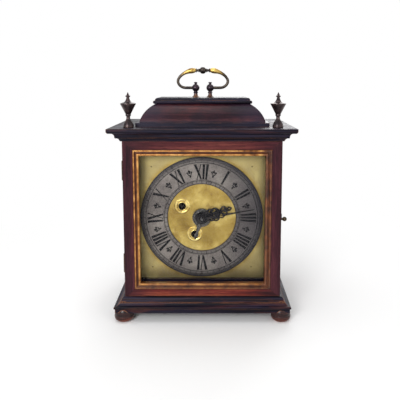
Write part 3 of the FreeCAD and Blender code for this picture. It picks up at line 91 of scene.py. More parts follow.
# The room is white to the eye, in reflections and through the glass, and lights the clock at
# half that strength.
world = bpy.data.worlds.new("studio")
bpy.context.scene.world = world
world.use_nodes = True
room = world.node_tree
ray = room.nodes.new("ShaderNodeLightPath")
seen = room.nodes.new("ShaderNodeMath")
seen.operation = "MAXIMUM"
room.links.new(ray.outputs["Is Camera Ray"], seen.inputs[0])
room.links.new(ray.outputs["Is Glossy Ray"], seen.inputs[1])
through = room.nodes.new("ShaderNodeMath")
through.operation = "MAXIMUM"
room.links.new(seen.outputs[0], through.inputs[0])
room.links.new(ray.outputs["Is Transmission Ray"], through.inputs[1])
level = room.nodes.new("ShaderNodeMapRange")
room.links.new(through.outputs[0], level.inputs["Value"])
level.inputs["To Min"].default_value = 0.5
level.inputs["To Max"].default_value = 1.0
room.links.new(level.outputs[0], room.nodes["Background"].inputs["Strength"])
room.nodes["Background"].inputs["Color"].default_value = (1, 1, 1, 1)

bpy.ops.object.select_all(action="DESELECT")
bpy.ops.mesh.primitive_circle_add(vertices=96, radius=6.0, fill_type="NGON", location=(0, 0, 0))
table = bpy.context.object
table.name = "table_top"
cloth = bpy.data.materials.new("white_table")
cloth.use_nodes = True
sheet = cloth.node_tree
near = sheet.nodes.new("ShaderNodeTexCoord")
reach = sheet.nodes.new("ShaderNodeVectorMath")
reach.operation = "LENGTH"
sheet.links.new(near.outputs["Object"], reach.inputs[0])
fade = sheet.nodes.new("ShaderNodeMapRange")
fade.inputs["From Min"].default_value, fade.inputs["From Max"].default_value = 0.14, 0.55
sheet.links.new(reach.outputs["Value"], fade.inputs["Value"])
glow = sheet.nodes.new("ShaderNodeEmission")
paint = sheet.nodes["Principled BSDF"]
paint.inputs["Base Color"].default_value = (0.96, 0.96, 0.96, 1)
paint.inputs["Roughness"].default_value = 0.9
paint.inputs["Specular IOR Level"].default_value = 0.1
far = sheet.nodes.new("ShaderNodeMixShader")
sheet.links.new(fade.outputs[0], far.inputs[0])
sheet.links.new(paint.outputs[0], far.inputs[1])
sheet.links.new(glow.outputs[0], far.inputs[2])
sheet.links.new(far.outputs[0], sheet.nodes["Material Output"].inputs["Surface"])
table.data.materials.append(cloth)


# ---- case of dark veneer ----------------------------------------------------------------
# The sides and both door frames are oak, veneered in a dark red-brown rosewood with a waxed
# polish. The grain runs along each member, and the frames' corners are mitred.
def tone(red, green, blue):
    """A colour as it is seen, 0 to 255, for a shader."""
    seen = [c / 255 for c in (red, green, blue)]
    return [((c + 0.055) / 1.055) ** 2.4 if c > 10 / 255 else c / 12.92 for c in seen] + [1.0]


# The case is 65 mm wider than it is deep, so each 45 degree mitre starts half of that off centre.
MITRE_FROM = 0.0325


class Finish:
    """One finish of the clock, with short ways to build its pattern up."""

    def __init__(self, name, **plain):
        self.material = bpy.data.materials.new(name)
        self.material.use_nodes = True
        self.tree = self.material.node_tree
        self.shader = self.tree.nodes["Principled BSDF"]
        self.place = self.put("ShaderNodeTexCoord").outputs["Object"]
        axes = self.put("ShaderNodeSeparateXYZ", {0: self.place})
        self.x, self.y, self.z = axes.outputs
        for socket, value in plain.items():
            self.shader.inputs[socket.replace("_", " ")].default_value = value

    def put(self, kind, inputs={}, **settings):
        node = self.tree.nodes.new(kind)
        for key, value in settings.items():
            setattr(node, key, value)
        for key, value in inputs.items():
            self.feed(node.inputs[key], value)
        return node

    def feed(self, socket, value):
        if isinstance(value, bpy.types.NodeSocket):
            self.tree.links.new(value, socket)
        else:
            socket.default_value = value

    def maths(self, operation, *values, clamp=False):
        inputs = dict(enumerate(values))
        return self.put("ShaderNodeMath", inputs, operation=operation, use_clamp=clamp).outputs[0]

    def times(self, first, second):
        return self.maths("MULTIPLY", first, second)

    def offset(self, value, middle):
        """How far value is from middle, either way."""
        return self.maths("ABSOLUTE", self.maths("SUBTRACT", value, middle))

    def combined(self, x, y, z=0.0):
        return self.put("ShaderNodeCombineXYZ", {0: x, 1: y, 2: z}).outputs[0]

    def from_axis(self, x, z):
        """The distance from the line through x and z that runs from front to back."""
        aside = self.combined(self.maths("SUBTRACT", self.x, x), self.maths("SUBTRACT", self.z, z))
        return self.put("ShaderNodeVectorMath", {0: aside}, operation="LENGTH").outputs["Value"]

    def either(self, share, first, second):
        """A direction or place: first where share is 0, second where it is 1."""
        inputs = {0: share, 4: first, 5: second}
        return self.put("ShaderNodeMix", inputs, data_type="VECTOR").outputs[1]

    def spread(self, value, low, high, start=0.0, end=1.0):
        """start where value is low or less, end where it is high or more."""
        inputs = {"Value": value, "From Min": low, "From Max": high, "To Min": start, "To Max": end}
        return self.put("ShaderNodeMapRange", inputs, interpolation_type="SMOOTHSTEP").outputs[0]

    def noise(self, scale, stretch=(1, 1, 1), detail=4.0, rough=0.55, warp=0.0, place=None):
        mapped = self.put("ShaderNodeMapping", {"Vector": place or self.place, "Scale": stretch})
        inputs = {"Vector": mapped.outputs[0], "Scale": scale, "Detail": detail, "Roughness": rough,
                  "Distortion": warp}
        return self.put("ShaderNodeTexNoise", inputs).outputs["Fac"]

    def ramp(self, value, *stops):
        node = self.put("ShaderNodeValToRGB", {"Fac": value})
        marks = node.color_ramp.elements
        marks[0].position, marks[0].color = stops[0]
        marks[1].position, marks[1].color = stops[-1]
        for position, colour in stops[1:-1]:
            marks.new(position).color = colour
        return node.outputs["Color"]

    def blend(self, share, under, over, how="MIX"):
        node = self.put("ShaderNodeMix", data_type="RGBA", blend_type=how, clamp_factor=True)
        for socket, value in ((0, share), (6, under), (7, over)):
            self.feed(node.inputs[socket], value)
        return node.outputs[2]

    def edges(self, radius, gain=3.0):
        """1 on arrises and in corners, 0 on the flats."""
        rounded = self.put("ShaderNodeBevel", {"Radius": radius}, samples=6).outputs[0]
        plain = self.put("ShaderNodeNewGeometry").outputs["Normal"]
        same = self.put("ShaderNodeVectorMath", {0: rounded, 1: plain}, operation="DOT_PRODUCT")
        return self.maths("MULTIPLY", self.maths("SUBTRACT", 1.0, same.outputs["Value"]), gain, clamp=True)

    def rubbed(self, colour, bare, radius=0.0009, gain=3.0, low=0.42, high=0.62):
        """The colour, with patches along the arrises where the wood is bare."""
        patches = self.times(self.edges(radius, gain), self.spread(self.noise(60.0), low, high))
        return self.blend(self.times(patches, 0.7), colour, bare)

    def run_round(self):
        """The place, turned so that grain along x runs round the case and meets at mitres."""
        beside = self.maths("SUBTRACT", self.maths("ABSOLUTE", self.x), MITRE_FROM)
        side = self.maths("GREATER_THAN", beside, self.maths("ABSOLUTE", self.y))
        return self.either(side, self.place, self.combined(self.y, self.x, self.z))

    def bump(self, height, depth, strength=0.6, on=None):
        inputs = {"Height": height, "Distance": depth, "Strength": strength}
        if on is not None:
            inputs["Normal"] = on
        return self.put("ShaderNodeBump", inputs).outputs[0]

    def finish(self, colour, roughness=None, normal=None, metal=None):
        wanted = {"Base Color": colour, "Roughness": roughness, "Normal": normal, "Metallic": metal}
        for socket, value in wanted.items():
            if value is not None:
                self.feed(self.shader.inputs[socket], value)
        return self.material


def dress(material, *names):
    for name in names:
        part = pieces[name]
        part.data.materials.clear()
        part.data.materials.append(material)


def veneer(finish, grain, dark, middle, light, redder=None, red_share=None):
    """Streaked veneer whose grain runs along the first axis of the grain coordinates."""
    bands = finish.noise(1.0, (7, 120, 120), 3, 0.6, 0.6, grain)
    streaks = finish.noise(1.0, (16, 420, 420), 5, 0.65, 0.3, grain)
    pores = finish.noise(1.0, (90, 2600, 2600), 2, 0.5, 0.0, grain)
    figure = finish.maths("ADD", finish.times(bands, 0.55), finish.times(streaks, 0.45))
    colour = finish.ramp(figure, (0.34, dark), (0.5, middle), (0.66, light))
    if redder:
        warm = finish.ramp(figure, (0.34, redder[0]), (0.5, redder[1]), (0.66, redder[2]))
        colour = finish.blend(red_share, colour, warm)
    speck = finish.spread(pores, 0.42, 0.5, 0.55, 1.0)
    grey = finish.put("ShaderNodeCombineColor", {0: speck, 1: speck, 2: speck}).outputs[0]
    colour = finish.blend(1.0, colour, grey, "MULTIPLY")
    gloss = finish.spread(finish.noise(22.0, detail=3), 0.3, 0.7, 0.26, 0.46)
    return colour, gloss, finish.bump(pores, 0.00004, 0.5), streaks


# Dark, middle and light streaks of the upright members, and of the redder cross members.
STILE = tone(27, 9, 17), tone(57, 22, 32), tone(86, 40, 48)
RAIL = tone(60, 18, 20), tone(112, 42, 36), tone(160, 84, 58)
RUBBED_ROSEWOOD = tone(120, 72, 52)

REBATE = 0.4 * MM
frame_low, frame_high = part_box("front_door_sight_edge")
mid_z = (frame_low.z + frame_high.z) / 2
half_x, half_z = frame_high.x - REBATE, (frame_high.z - frame_low.z) / 2 - REBATE
door_veneer = Finish("door_rosewood", Specular_IOR_Level=0.14, Coat_Weight=0.05, Coat_Roughness=0.2)
out_x = door_veneer.maths("ABSOLUTE", door_veneer.x)
past_stile = door_veneer.maths("SUBTRACT", out_x, half_x)
past_rail = door_veneer.maths("SUBTRACT", door_veneer.offset(door_veneer.z, mid_z), half_z)
past_mitre = door_veneer.maths("SUBTRACT", past_rail, past_stile)
on_rail = door_veneer.maths("GREATER_THAN", past_mitre, 0.0)
upright = door_veneer.combined(door_veneer.z, door_veneer.y, door_veneer.x)
grain = door_veneer.either(on_rail, upright, door_veneer.place)
middle = door_veneer.spread(out_x, 0.05, 0.105, 1.0, 0.1)
middle = door_veneer.times(middle, door_veneer.spread(door_veneer.noise(14.0, detail=3), 0.3, 0.6, 0.55, 1.0))
middle = door_veneer.times(middle, door_veneer.spread(door_veneer.z, mid_z - 0.06, mid_z + 0.06, 1.0, 0.34))
redness = door_veneer.times(middle, on_rail)
colour, gloss, relief, streaks = veneer(door_veneer, grain, *STILE, RAIL, redness)
joint = door_veneer.spread(door_veneer.maths("ABSOLUTE", past_mitre), 0.0001, 0.0004, 1.0, 0.0)
colour = door_veneer.blend(door_veneer.times(joint, 0.6), colour, tone(14, 8, 10))
colour = door_veneer.rubbed(colour, RUBBED_ROSEWOOD)
dress(door_veneer.finish(colour, gloss, relief), "front_door_frame", "rear_door_frame")

side_veneer = Finish("side_rosewood", Specular_IOR_Level=0.14, Coat_Weight=0.05, Coat_Roughness=0.2)
upright = side_veneer.combined(side_veneer.z, side_veneer.y, side_veneer.x)
redness = side_veneer.spread(side_veneer.noise(9.0), 0.4, 0.7, 0.0, 0.6)
colour, gloss, relief, streaks = veneer(side_veneer, upright, *STILE, RAIL, redness)
colour = side_veneer.rubbed(colour, RUBBED_ROSEWOOD)
dress(side_veneer.finish(colour, gloss, relief), "side_boards")

# ---- plain boards inside ----------------------------------------------------------------
# Base, top and seat boards are plain oak, sawn and planed, and glued between the sides. They
# were never polished, and age and dust have darkened them.
oak = Finish("old_oak", Specular_IOR_Level=0.2)
rays = oak.noise(1.0, (14, 60, 300), 4, 0.6, 0.4)
pores = oak.noise(1.0, (60, 900, 1800), 2)
colour = oak.ramp(rays, (0.32, tone(70, 48, 30)), (0.52, tone(104, 74, 46)), (0.7, tone(132, 98, 62)))
colour = oak.blend(oak.spread(pores, 0.36, 0.48, 0.6, 0.0), colour, tone(48, 32, 20))
dress(oak.finish(colour, 0.7, oak.bump(pores, 0.0001)), "base_board", "top_board", "seat_board")


# ---- ebonised mouldings -----------------------------------------------------------------
# Base, cornice, cap and dial mask are pearwood stained black and polished. The brown wood
# shows where dusting has rubbed the arrises, and in streaks along the moulding.
def ebonised(name, mitred, worn, brown):
    """Worn is how bare the rubbed arrises are, brown how much of the streaks is brown."""
    wood = Finish(name, Specular_IOR_Level=0.12, Coat_Weight=0.03, Coat_Roughness=0.3)
    run = wood.run_round() if mitred else wood.place
    streaks = wood.noise(1.0, (9, 200, 500), 4, 0.6, 0.2, run)
    patches = wood.noise(1.0, (18, 60, 160), 4, 0.6, 0.5, run)
    fine = wood.noise(1.0, (60, 900, 1400), 2, 0.5, 0.0, run)
    black = wood.ramp(streaks, (0.36, tone(4, 3, 10)), (0.52, tone(14, 12, 28)), (0.68, tone(45, 39, 57)))
    colour = wood.blend(wood.times(wood.spread(patches, 0.5, 0.68), brown), black, tone(88, 46, 40))
    broken = wood.spread(wood.noise(1.0, (35, 200, 200), 4, 0.6, 0.0, run), 0.36, 0.56)
    rub = wood.times(wood.edges(0.0013, 5.0), broken)
    colour = wood.blend(wood.times(rub, worn), colour, tone(138, 92, 66))
    gloss = wood.spread(wood.noise(40.0), 0.3, 0.7, 0.36, 0.54)
    return wood.finish(colour, gloss, wood.bump(fine, 0.00003, 0.25))


dress(ebonised("ebonised_base", True, 0.85, 0.4), "base_mouldings")
dress(ebonised("ebonised_cornice", True, 0.85, 0.2), "cornice_mouldings")
dress(ebonised("ebonised_cap", False, 0.7, 0.15), "dome_cap")
dress(ebonised("ebonised_mask", False, 0.3, 0.1), "dial_mask")

# ---- bun feet ---------------------------------------------------------------------------
# Feet turned in pearwood and glued under the base, stained like it. Low down they are
# painted lighter and redder, as painted light on the lower part of each bun.
foot_wood = Finish("turned_foot", Specular_IOR_Level=0.2, Coat_Weight=0.15, Coat_Roughness=0.15)
rings = foot_wood.noise(1.0, (50, 50, 900), 3)
height = foot_wood.maths("ADD", foot_wood.z, foot_wood.times(foot_wood.noise(60.0), 0.006))
low_down = foot_wood.spread(height, 0.005, 0.011, 0.9, 0.0)
stained = foot_wood.ramp(rings, (0.4, tone(20, 10, 12)), (0.62, tone(60, 32, 30)))
# Painted light: the lower part of each foot is lighter and redder.
lit_low_wood = foot_wood.ramp(rings, (0.38, tone(58, 24, 20)), (0.62, tone(134, 68, 48)))
colour = foot_wood.blend(low_down, stained, lit_low_wood)
dress(foot_wood.finish(colour, 0.3, foot_wood.bump(rings, 0.00006)), "bun_feet")

# ---- dome -------------------------------------------------------------------------------
# The cushion top is veneered over a moulded core, with the grain running round it. Its flat
# foot is ebonised.
dome_veneer = Finish("dome_rosewood", Specular_IOR_Level=0.13, Coat_Weight=0.05, Coat_Roughness=0.2)
low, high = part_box("dome_top")
redder = tone(38, 14, 20), tone(72, 30, 34), tone(112, 60, 54)
redness = dome_veneer.spread(dome_veneer.noise(16.0), 0.42, 0.66)
colour, gloss, relief, streaks = veneer(dome_veneer, dome_veneer.run_round(), tone(16, 9, 18), tone(38, 19, 30),
                                        tone(70, 40, 48), redder, redness)
height = dome_veneer.maths("ADD", dome_veneer.z, dome_veneer.times(dome_veneer.noise(30.0), 0.002))
foot = dome_veneer.spread(height, low.z + 0.0055, low.z + 0.0095, 1.0, 0.0)
stained = dome_veneer.ramp(streaks, (0.35, tone(18, 16, 28)), (0.65, tone(44, 40, 54)))
colour = dome_veneer.blend(foot, colour, stained)
# Towards both ends the veneer turns greyer and bluer.
bluer_ends = dome_veneer.spread(dome_veneer.maths("ABSOLUTE", dome_veneer.x), 0.03, 0.075, 0.0, 0.3)
colour = dome_veneer.blend(bluer_ends, colour, tone(54, 50, 70))
colour = dome_veneer.rubbed(colour, tone(112, 74, 62), 0.0012, 4.0, 0.4, 0.6)
dress(dome_veneer.finish(colour, gloss, relief), "dome_top")

# ---- carrying handle --------------------------------------------------------------------
# A cast brass bail, turned with a middle knob and two long tapered lobes, whose ends turn in
# two ball posts. Hands have kept the lobes bright, and the rest has gone nearly black.
def begin(name):
    """An empty mesh in edit mode, to add outlines to."""
    bpy.ops.object.select_all(action="DESELECT")
    bpy.ops.mesh.primitive_circle_add(vertices=4, radius=MM, fill_type="NGON")
    piece = bpy.context.object
    piece.name = name
    bpy.ops.object.mode_set(mode="EDIT")
    bpy.ops.mesh.delete(type="VERT")
    return piece


def close(piece, material, body):
    """Ends the edit of a new piece, gives it its metal, and lets it ride on its body."""
    bpy.ops.mesh.select_all(action="SELECT")
    bpy.ops.mesh.normals_make_consistent(inside=False)
    bpy.ops.object.mode_set(mode="OBJECT")
    piece.data.materials.clear()
    piece.data.materials.append(material)
    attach(piece, body)


# Half of the bail, from the middle of its knob to its end: sideways, up and radius, in mm.
BAIL = [(0, 0, 4.75), (1.6, 0, 4.6), (3.1, 0, 3.8), (4.2, 0, 2.4), (4.6, 0, 2.0), (4.9, 0, 2.7), (5.8, 0, 2.75),
        (6.1, 0, 1.9), (7.4, 0, 1.7), (8.5, 0, 2.0), (8.8, 0, 2.9), (9.7, 0, 2.9), (10.0, 0, 2.2), (11.4, -0.1, 3.0),
        (13.4, -0.3, 3.65), (15.6, -0.5, 3.85), (18.2, -1.0, 3.6), (21.6, -2.0, 2.95), (25.6, -3.8, 2.35),
        (29.6, -6.5, 2.05), (32.9, -10.0, 1.95), (34.8, -14.2, 1.95), (34.0, -18.4, 1.95), (31.0, -21.9, 1.95),
        (26.6, -23.8, 2.0), (21.0, -24.1, 2.05), (15.0, -24.1, 2.05), (9.8, -24.1, 2.05)]
KNOB_TO_TOP = 5.5 * MM
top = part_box("carrying_handle")[1].z - KNOB_TO_TOP
bpy.ops.object.select_all(action="DESELECT")
bpy.ops.curve.primitive_bezier_curve_add(location=(0, 0, 0))
bail = bpy.context.object
bail.data.splines.clear()
line = bail.data.splines.new("BEZIER")
stations = [(-x, z, r) for x, z, r in reversed(BAIL[1:])] + BAIL
line.bezier_points.add(len(stations) - 1)
line.resolution_u = 5
for knot, (x, z, r) in zip(line.bezier_points, stations):
    knot.co = (x * MM, 0, top + z * MM)
    knot.radius = r
    knot.handle_left_type = knot.handle_right_type = "AUTO"
bail.data.dimensions = "3D"
bail.data.bevel_depth = MM
bail.data.bevel_resolution = 6
bail.data.use_fill_caps = True
bpy.ops.object.convert(target="MESH")
bail = bpy.context.object
bail.name = "turned_bail"
bpy.ops.object.shade_smooth_by_angle(angle=math.radians(40))
bpy.ops.object.mode_set(mode="EDIT")
bpy.ops.mesh.select_all(action="SELECT")
bpy.ops.mesh.remove_doubles(threshold=0.000002)

handle_brass = Finish("handled_brass")
tarnish = handle_brass.noise(140.0, detail=5)
from_knob = handle_brass.maths("ABSOLUTE", handle_brass.x)
past_neck = handle_brass.spread(from_knob, 0.0095, 0.0105)
lobes = handle_brass.times(past_neck, handle_brass.spread(from_knob, 0.019, 0.033, 1.0, 0.0))
high_up = handle_brass.spread(handle_brass.z, top - 0.012, top - 0.005)
bright = handle_brass.times(handle_brass.times(lobes, high_up), handle_brass.spread(tarnish, 0.32, 0.5, 0.5, 1.0))
dark = handle_brass.ramp(tarnish, (0.35, tone(34, 30, 34)), (0.6, tone(78, 70, 62)))
worn_bright = handle_brass.ramp(tarnish, (0.35, tone(146, 110, 46)), (0.65, tone(214, 182, 104)))
colour = handle_brass.blend(bright, dark, worn_bright)
gloss = handle_brass.spread(tarnish, 0.3, 0.7, 0.25, 0.45)
bail_brass = handle_brass.finish(colour, gloss, handle_brass.bump(tarnish, 0.00004), 0.9)
close(bail, bail_brass, "handle")
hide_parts("carrying_handle")

post_brass = Finish("dark_post_brass")
tarnish = post_brass.noise(150.0, detail=5)
foot = post_brass.spread(post_brass.z, 0.2925, 0.299, 1.0, 0.0)
dark = post_brass.ramp(tarnish, (0.35, tone(26, 18, 28)), (0.62, tone(58, 46, 54)))
browner = post_brass.ramp(tarnish, (0.35, tone(50, 32, 28)), (0.62, tone(112, 78, 56)))
colour = post_brass.blend(foot, dark, browner)
dress(post_brass.finish(colour, 0.34, post_brass.bump(tarnish, 0.00003), 0.7), "handle_posts")

# ---- finials ----------------------------------------------------------------------------
# Turned brass urns with a lid and a stepped tip, patinated dark brown. A dowel under the foot
# holds each one in a front corner of the cornice.
# The urn's outline from its dowel up: radius and height over the cornice, in mm.
URN = [(1.8, -6), (1.8, 0), (6.4, 0), (6.9, 0.6), (6.9, 1.6), (6.6, 3.6), (5.3, 7.0), (3.4, 9.6), (2.5, 11.4),
       (2.4, 13.6), (2.6, 14.6), (3.4, 15.2), (3.5, 16.8), (3.3, 17.3), (4.1, 18.8), (6.4, 23.4), (8.8, 28.0),
       (9.7, 29.6), (10.0, 30.2), (9.9, 30.9), (8.2, 31.5), (4.8, 32.6), (3.4, 34.2), (2.3, 36.4), (1.8, 38.2),
       (2.0, 38.8), (2.9, 39.2), (3.1, 40.0), (2.8, 40.8), (1.8, 41.2), (1.1, 43.0), (0.3, 44.9)]


def turned(profile, x, y, z, sides=36):
    """Turns an outline of radius and height in mm round the upright line at x, y, from the bottom up."""
    radius, height = profile[0]
    bpy.ops.mesh.select_all(action="DESELECT")
    bpy.ops.mesh.primitive_circle_add(vertices=sides, radius=radius * MM, fill_type="NGON",
                                      location=(x, y, z + height * MM))
    for (r0, h0), (r1, h1) in zip(profile, profile[1:]):
        bpy.ops.mesh.extrude_region_move(TRANSFORM_OT_translate={"value": (0, 0, (h1 - h0) * MM)})
        bpy.ops.transform.resize(value=(r1 / r0, r1 / r0, 1), center_override=(x, y, z + h1 * MM))


low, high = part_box("finials")
reach = (high.y - low.y) / 2
urns = begin("corner_urns")
for x in (low.x + reach, high.x - reach):
    turned(URN, x, (low.y + high.y) / 2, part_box("cornice_mouldings")[1].z)
urn = Finish("patinated_urn")
tarnish = urn.noise(140.0, detail=5)
turning = urn.noise(1.0, (40, 40, 1500), 2)
colour = urn.ramp(tarnish, (0.34, tone(30, 22, 25)), (0.52, tone(58, 44, 45)), (0.7, tone(94, 78, 72)))
# The edges and corners of the turning are painted lighter: painted highlights.
colour = urn.blend(urn.times(urn.edges(0.0006, 4.0), 0.55), colour, tone(136, 116, 104))
bpy.ops.object.mode_set(mode="OBJECT")
bpy.ops.object.shade_smooth_by_angle(angle=math.radians(32))
bpy.ops.object.mode_set(mode="EDIT")
close(urns, urn.finish(colour, 0.3, urn.bump(turning, 0.00005), 0.6), "case")
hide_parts("finials")


# ---- gilded sight edge ------------------------------------------------------------------
# A double bead of gilded wood frames the glass. The groove between the beads, and their
# flanks, have gone back to the red-brown ground.
def gilt(name, groove=None):
    leaf = Finish(name)
    wear = leaf.noise(90.0, detail=5, rough=0.65)
    dots = leaf.noise(420.0, detail=2)
    gold = leaf.ramp(wear, (0.34, tone(116, 68, 30)), (0.5, tone(166, 110, 52)), (0.66, tone(206, 156, 88)))
    ground = leaf.ramp(wear, (0.35, tone(50, 22, 14)), (0.65, tone(112, 60, 28)))
    bare = leaf.spread(dots, 0.62, 0.72, 0.0, 0.7)
    if groove is not None:
        bare = leaf.maths("MAXIMUM", bare, groove(leaf))
    gloss, metal = leaf.spread(wear, 0.3, 0.7, 0.3, 0.5), leaf.spread(bare, 0.0, 1.0, 0.55, 0.05)
    return leaf.finish(leaf.blend(bare, gold, ground), gloss, leaf.bump(wear, 0.00008), metal)


SIGHT_WIDTH = 7.9 * MM
edge_x = frame_high.x - SIGHT_WIDTH
edge_z0, edge_z1 = frame_low.z + SIGHT_WIDTH, frame_high.z - SIGHT_WIDTH


def sight_groove(leaf):
    """Where the gold is gone: the groove, the outer flank and the reveal; also the right side and the bottom, partly
    wear and partly painted shade.
    """
    out_x = leaf.maths("SUBTRACT", leaf.maths("ABSOLUTE", leaf.x), edge_x)
    out_z = leaf.maths("SUBTRACT", leaf.offset(leaf.z, (edge_z0 + edge_z1) / 2), (edge_z1 - edge_z0) / 2)
    out = leaf.maths("MAXIMUM", out_x, out_z)
    middle = leaf.times(leaf.spread(out, 0.0020, 0.0025), leaf.spread(out, 0.0052, 0.0058, 1.0, 0.0))
    outside = leaf.spread(out, 0.0068, 0.0072)
    reveal = leaf.spread(leaf.y, -0.0696, -0.0688)
    flanks = leaf.maths("MAXIMUM", middle, leaf.maths("MAXIMUM", outside, reveal))
    # The right side and the bottom lose more gold, partly from wear and partly as painted shade.
    to_right = leaf.maths("ADD", leaf.x, leaf.times(leaf.noise(30.0, detail=4), 0.01))
    right_shade_and_wear = leaf.spread(to_right, 0.079, 0.086, 0.0, 0.95)
    height = leaf.maths("ADD", leaf.z, leaf.times(leaf.noise(40.0, detail=4), 0.02))
    bottom_shade_and_wear = leaf.spread(height, edge_z0 + 0.004, edge_z0 + 0.014, 0.78, 0.0)
    return leaf.maths("MAXIMUM", flanks, leaf.maths("MAXIMUM", right_shade_and_wear, bottom_shade_and_wear))


dress(gilt("sight_edge_gilding", sight_groove), "front_door_sight_edge")
dress(gilt("window_bead_gilding"), "side_window_beads")

# ---- glass ------------------------------------------------------------------------------
# Thin old sheet glass in both doors and in the side windows, nearly colourless. The face
# towards the eye mirrors a little, and the far face lets everything through.
glass = Finish("old_sheet_glass")
clear = glass.put("ShaderNodeBsdfTransparent", {"Color": (0.965, 0.975, 0.965, 1)})
shine = glass.put("ShaderNodeBsdfGlossy", {"Color": (1, 1, 1, 1), "Roughness": 0.03})
edge_on = glass.put("ShaderNodeFresnel", {"IOR": 1.18}).outputs[0]
near_face = glass.maths("SUBTRACT", 1.0, glass.put("ShaderNodeNewGeometry").outputs["Backfacing"])
mirrored = glass.times(edge_on, near_face)
pane = glass.put("ShaderNodeMixShader", {0: mirrored, 1: clear.outputs[0], 2: shine.outputs[0]})
glass.tree.links.new(pane.outputs[0], glass.tree.nodes["Material Output"].inputs["Surface"])
dress(glass.material, "front_door_glass", "rear_door_glass", "side_window_glasses")

# ---- hinges, latch and turn button ------------------------------------------------------
# Small brass fittings, cut from sheet and turned, that have toned brown. They are let into
# the doors and the case and held by steel pins and screws.
fitting = Finish("toned_fitting_brass")
tarnish = fitting.noise(200.0, detail=5)
colour = fitting.ramp(tarnish, (0.34, tone(38, 31, 26)), (0.52, tone(64, 53, 40)), (0.7, tone(108, 92, 64)))
gloss = fitting.spread(tarnish, 0.3, 0.7, 0.3, 0.5)
dress(fitting.finish(colour, gloss, fitting.bump(tarnish, 0.00004), 0.85), "case_hinge_leaves",
      "front_door_hinge_leaves", "rear_door_hinge_leaves", "latch_stud", "latch_hook", "rear_turn_button")

# ---- dial plate -------------------------------------------------------------------------
# A square of hammered brass. Its centre is matted with a punch, the corners are plain, and
# the lacquer has toned it unevenly, with a few dark spots.
dial_low, dial_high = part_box("chapter_ring")
dial_x, dial_z = (dial_low.x + dial_high.x) / 2, (dial_low.z + dial_high.z) / 2
ring_front = dial_low.y
plate = Finish("lacquered_dial_brass")
out = plate.from_axis(dial_x, dial_z)
in_centre = plate.spread(out, 0.0455, 0.0465, 1.0, 0.0)
clouds = plate.noise(24.0, detail=5, rough=0.6)
stain = plate.noise(70.0, detail=5, rough=0.7, warp=0.5)
colour = plate.ramp(clouds, (0.36, tone(144, 116, 60)), (0.5, tone(180, 151, 82)), (0.64, tone(218, 192, 120)))
colour = plate.blend(plate.times(plate.spread(stain, 0.48, 0.7), 0.6), colour, tone(132, 100, 58))
colour = plate.blend(plate.spread(out, 0.082, 0.09, 0.0, 0.5), colour, tone(184, 172, 132))

# Painted shade along the edge of the plate, where the door frame casts its shadow and is mirrored in the brass;
# less of it at the lower left corner, and the plate painted darker towards the lower right.
to_right, raised = plate.maths("SUBTRACT", plate.x, dial_x), plate.maths("SUBTRACT", plate.z, dial_z)
far_x, far_z = plate.maths("ABSOLUTE", to_right), plate.maths("ABSOLUTE", raised)
far_out = plate.maths("ADD", plate.maths("MAXIMUM", far_x, far_z), plate.times(clouds, 0.012))
edge_shade = plate.spread(far_out, 0.078, 0.094, 0.0, 0.6)
lighter_lower_left = plate.spread(plate.maths("ADD", to_right, raised), -0.13, -0.05, 0.2, 1.0)
darker_lower_right = plate.spread(plate.maths("SUBTRACT", to_right, raised), 0.09, 0.14, 0.0, 0.35)
edge_shade = plate.maths("MAXIMUM", plate.times(edge_shade, lighter_lower_left), darker_lower_right)
colour = plate.blend(edge_shade, colour, tone(98, 84, 58))
spots = plate.put("ShaderNodeTexVoronoi", {"Vector": plate.place, "Scale": 85.0, "Randomness": 1.0}, feature="F1")
in_spot = plate.spread(spots.outputs["Distance"], 0.03, 0.075, 1.0, 0.0)
spot_share = plate.times(in_spot, plate.spread(plate.noise(18.0), 0.56, 0.62))
colour = plate.blend(plate.times(spot_share, 0.8), colour, tone(56, 42, 28))

# The ends of the four dial feet show as dark dots near the corners.
FEET_X, FEET_Z = 67.3 * MM, 69.5 * MM
from_foot = plate.combined(plate.maths("SUBTRACT", far_x, FEET_X), plate.maths("SUBTRACT", far_z, FEET_Z))
rivet = plate.put("ShaderNodeVectorMath", {0: from_foot}, operation="LENGTH").outputs["Value"]
colour = plate.blend(plate.spread(rivet, 0.0007, 0.0012, 0.85, 0.0), colour, tone(48, 36, 24))
punched = plate.bump(plate.noise(2600.0, detail=1), 0.00006, 0.6)
smooth = plate.bump(plate.noise(1.0, (300, 300, 2600), 2), 0.00003, 0.4)
relief = plate.either(in_centre, smooth, punched)
dress(plate.finish(colour, plate.spread(clouds, 0.3, 0.7, 0.36, 0.5), relief, 0.9), "dial_plate")

# ---- chapter ring -----------------------------------------------------------------------
# Silvered brass, gone grey. It is engraved with radial hour numerals, half-hour flowers, a
# quarter-hour track inside and a minute track outside, all filled with black wax.
silver = Finish("greyed_silvering")
out = silver.from_axis(dial_x, dial_z)
clouds = silver.noise(30.0, detail=5, rough=0.65)
grit = silver.noise(400.0, detail=3)
mixed = silver.maths("ADD", silver.times(clouds, 0.7), silver.times(grit, 0.3))
colour = silver.ramp(mixed, (0.34, tone(96, 88, 88)), (0.5, tone(125, 116, 114)), (0.66, tone(152, 143, 138)))
# The right side of the ring is painted darker: painted shade.
shade = silver.spread(silver.maths("ADD", silver.x, silver.times(clouds, 0.03)), 0.02, 0.09)
colour = silver.blend(silver.times(shade, 0.72), colour, tone(62, 58, 66))

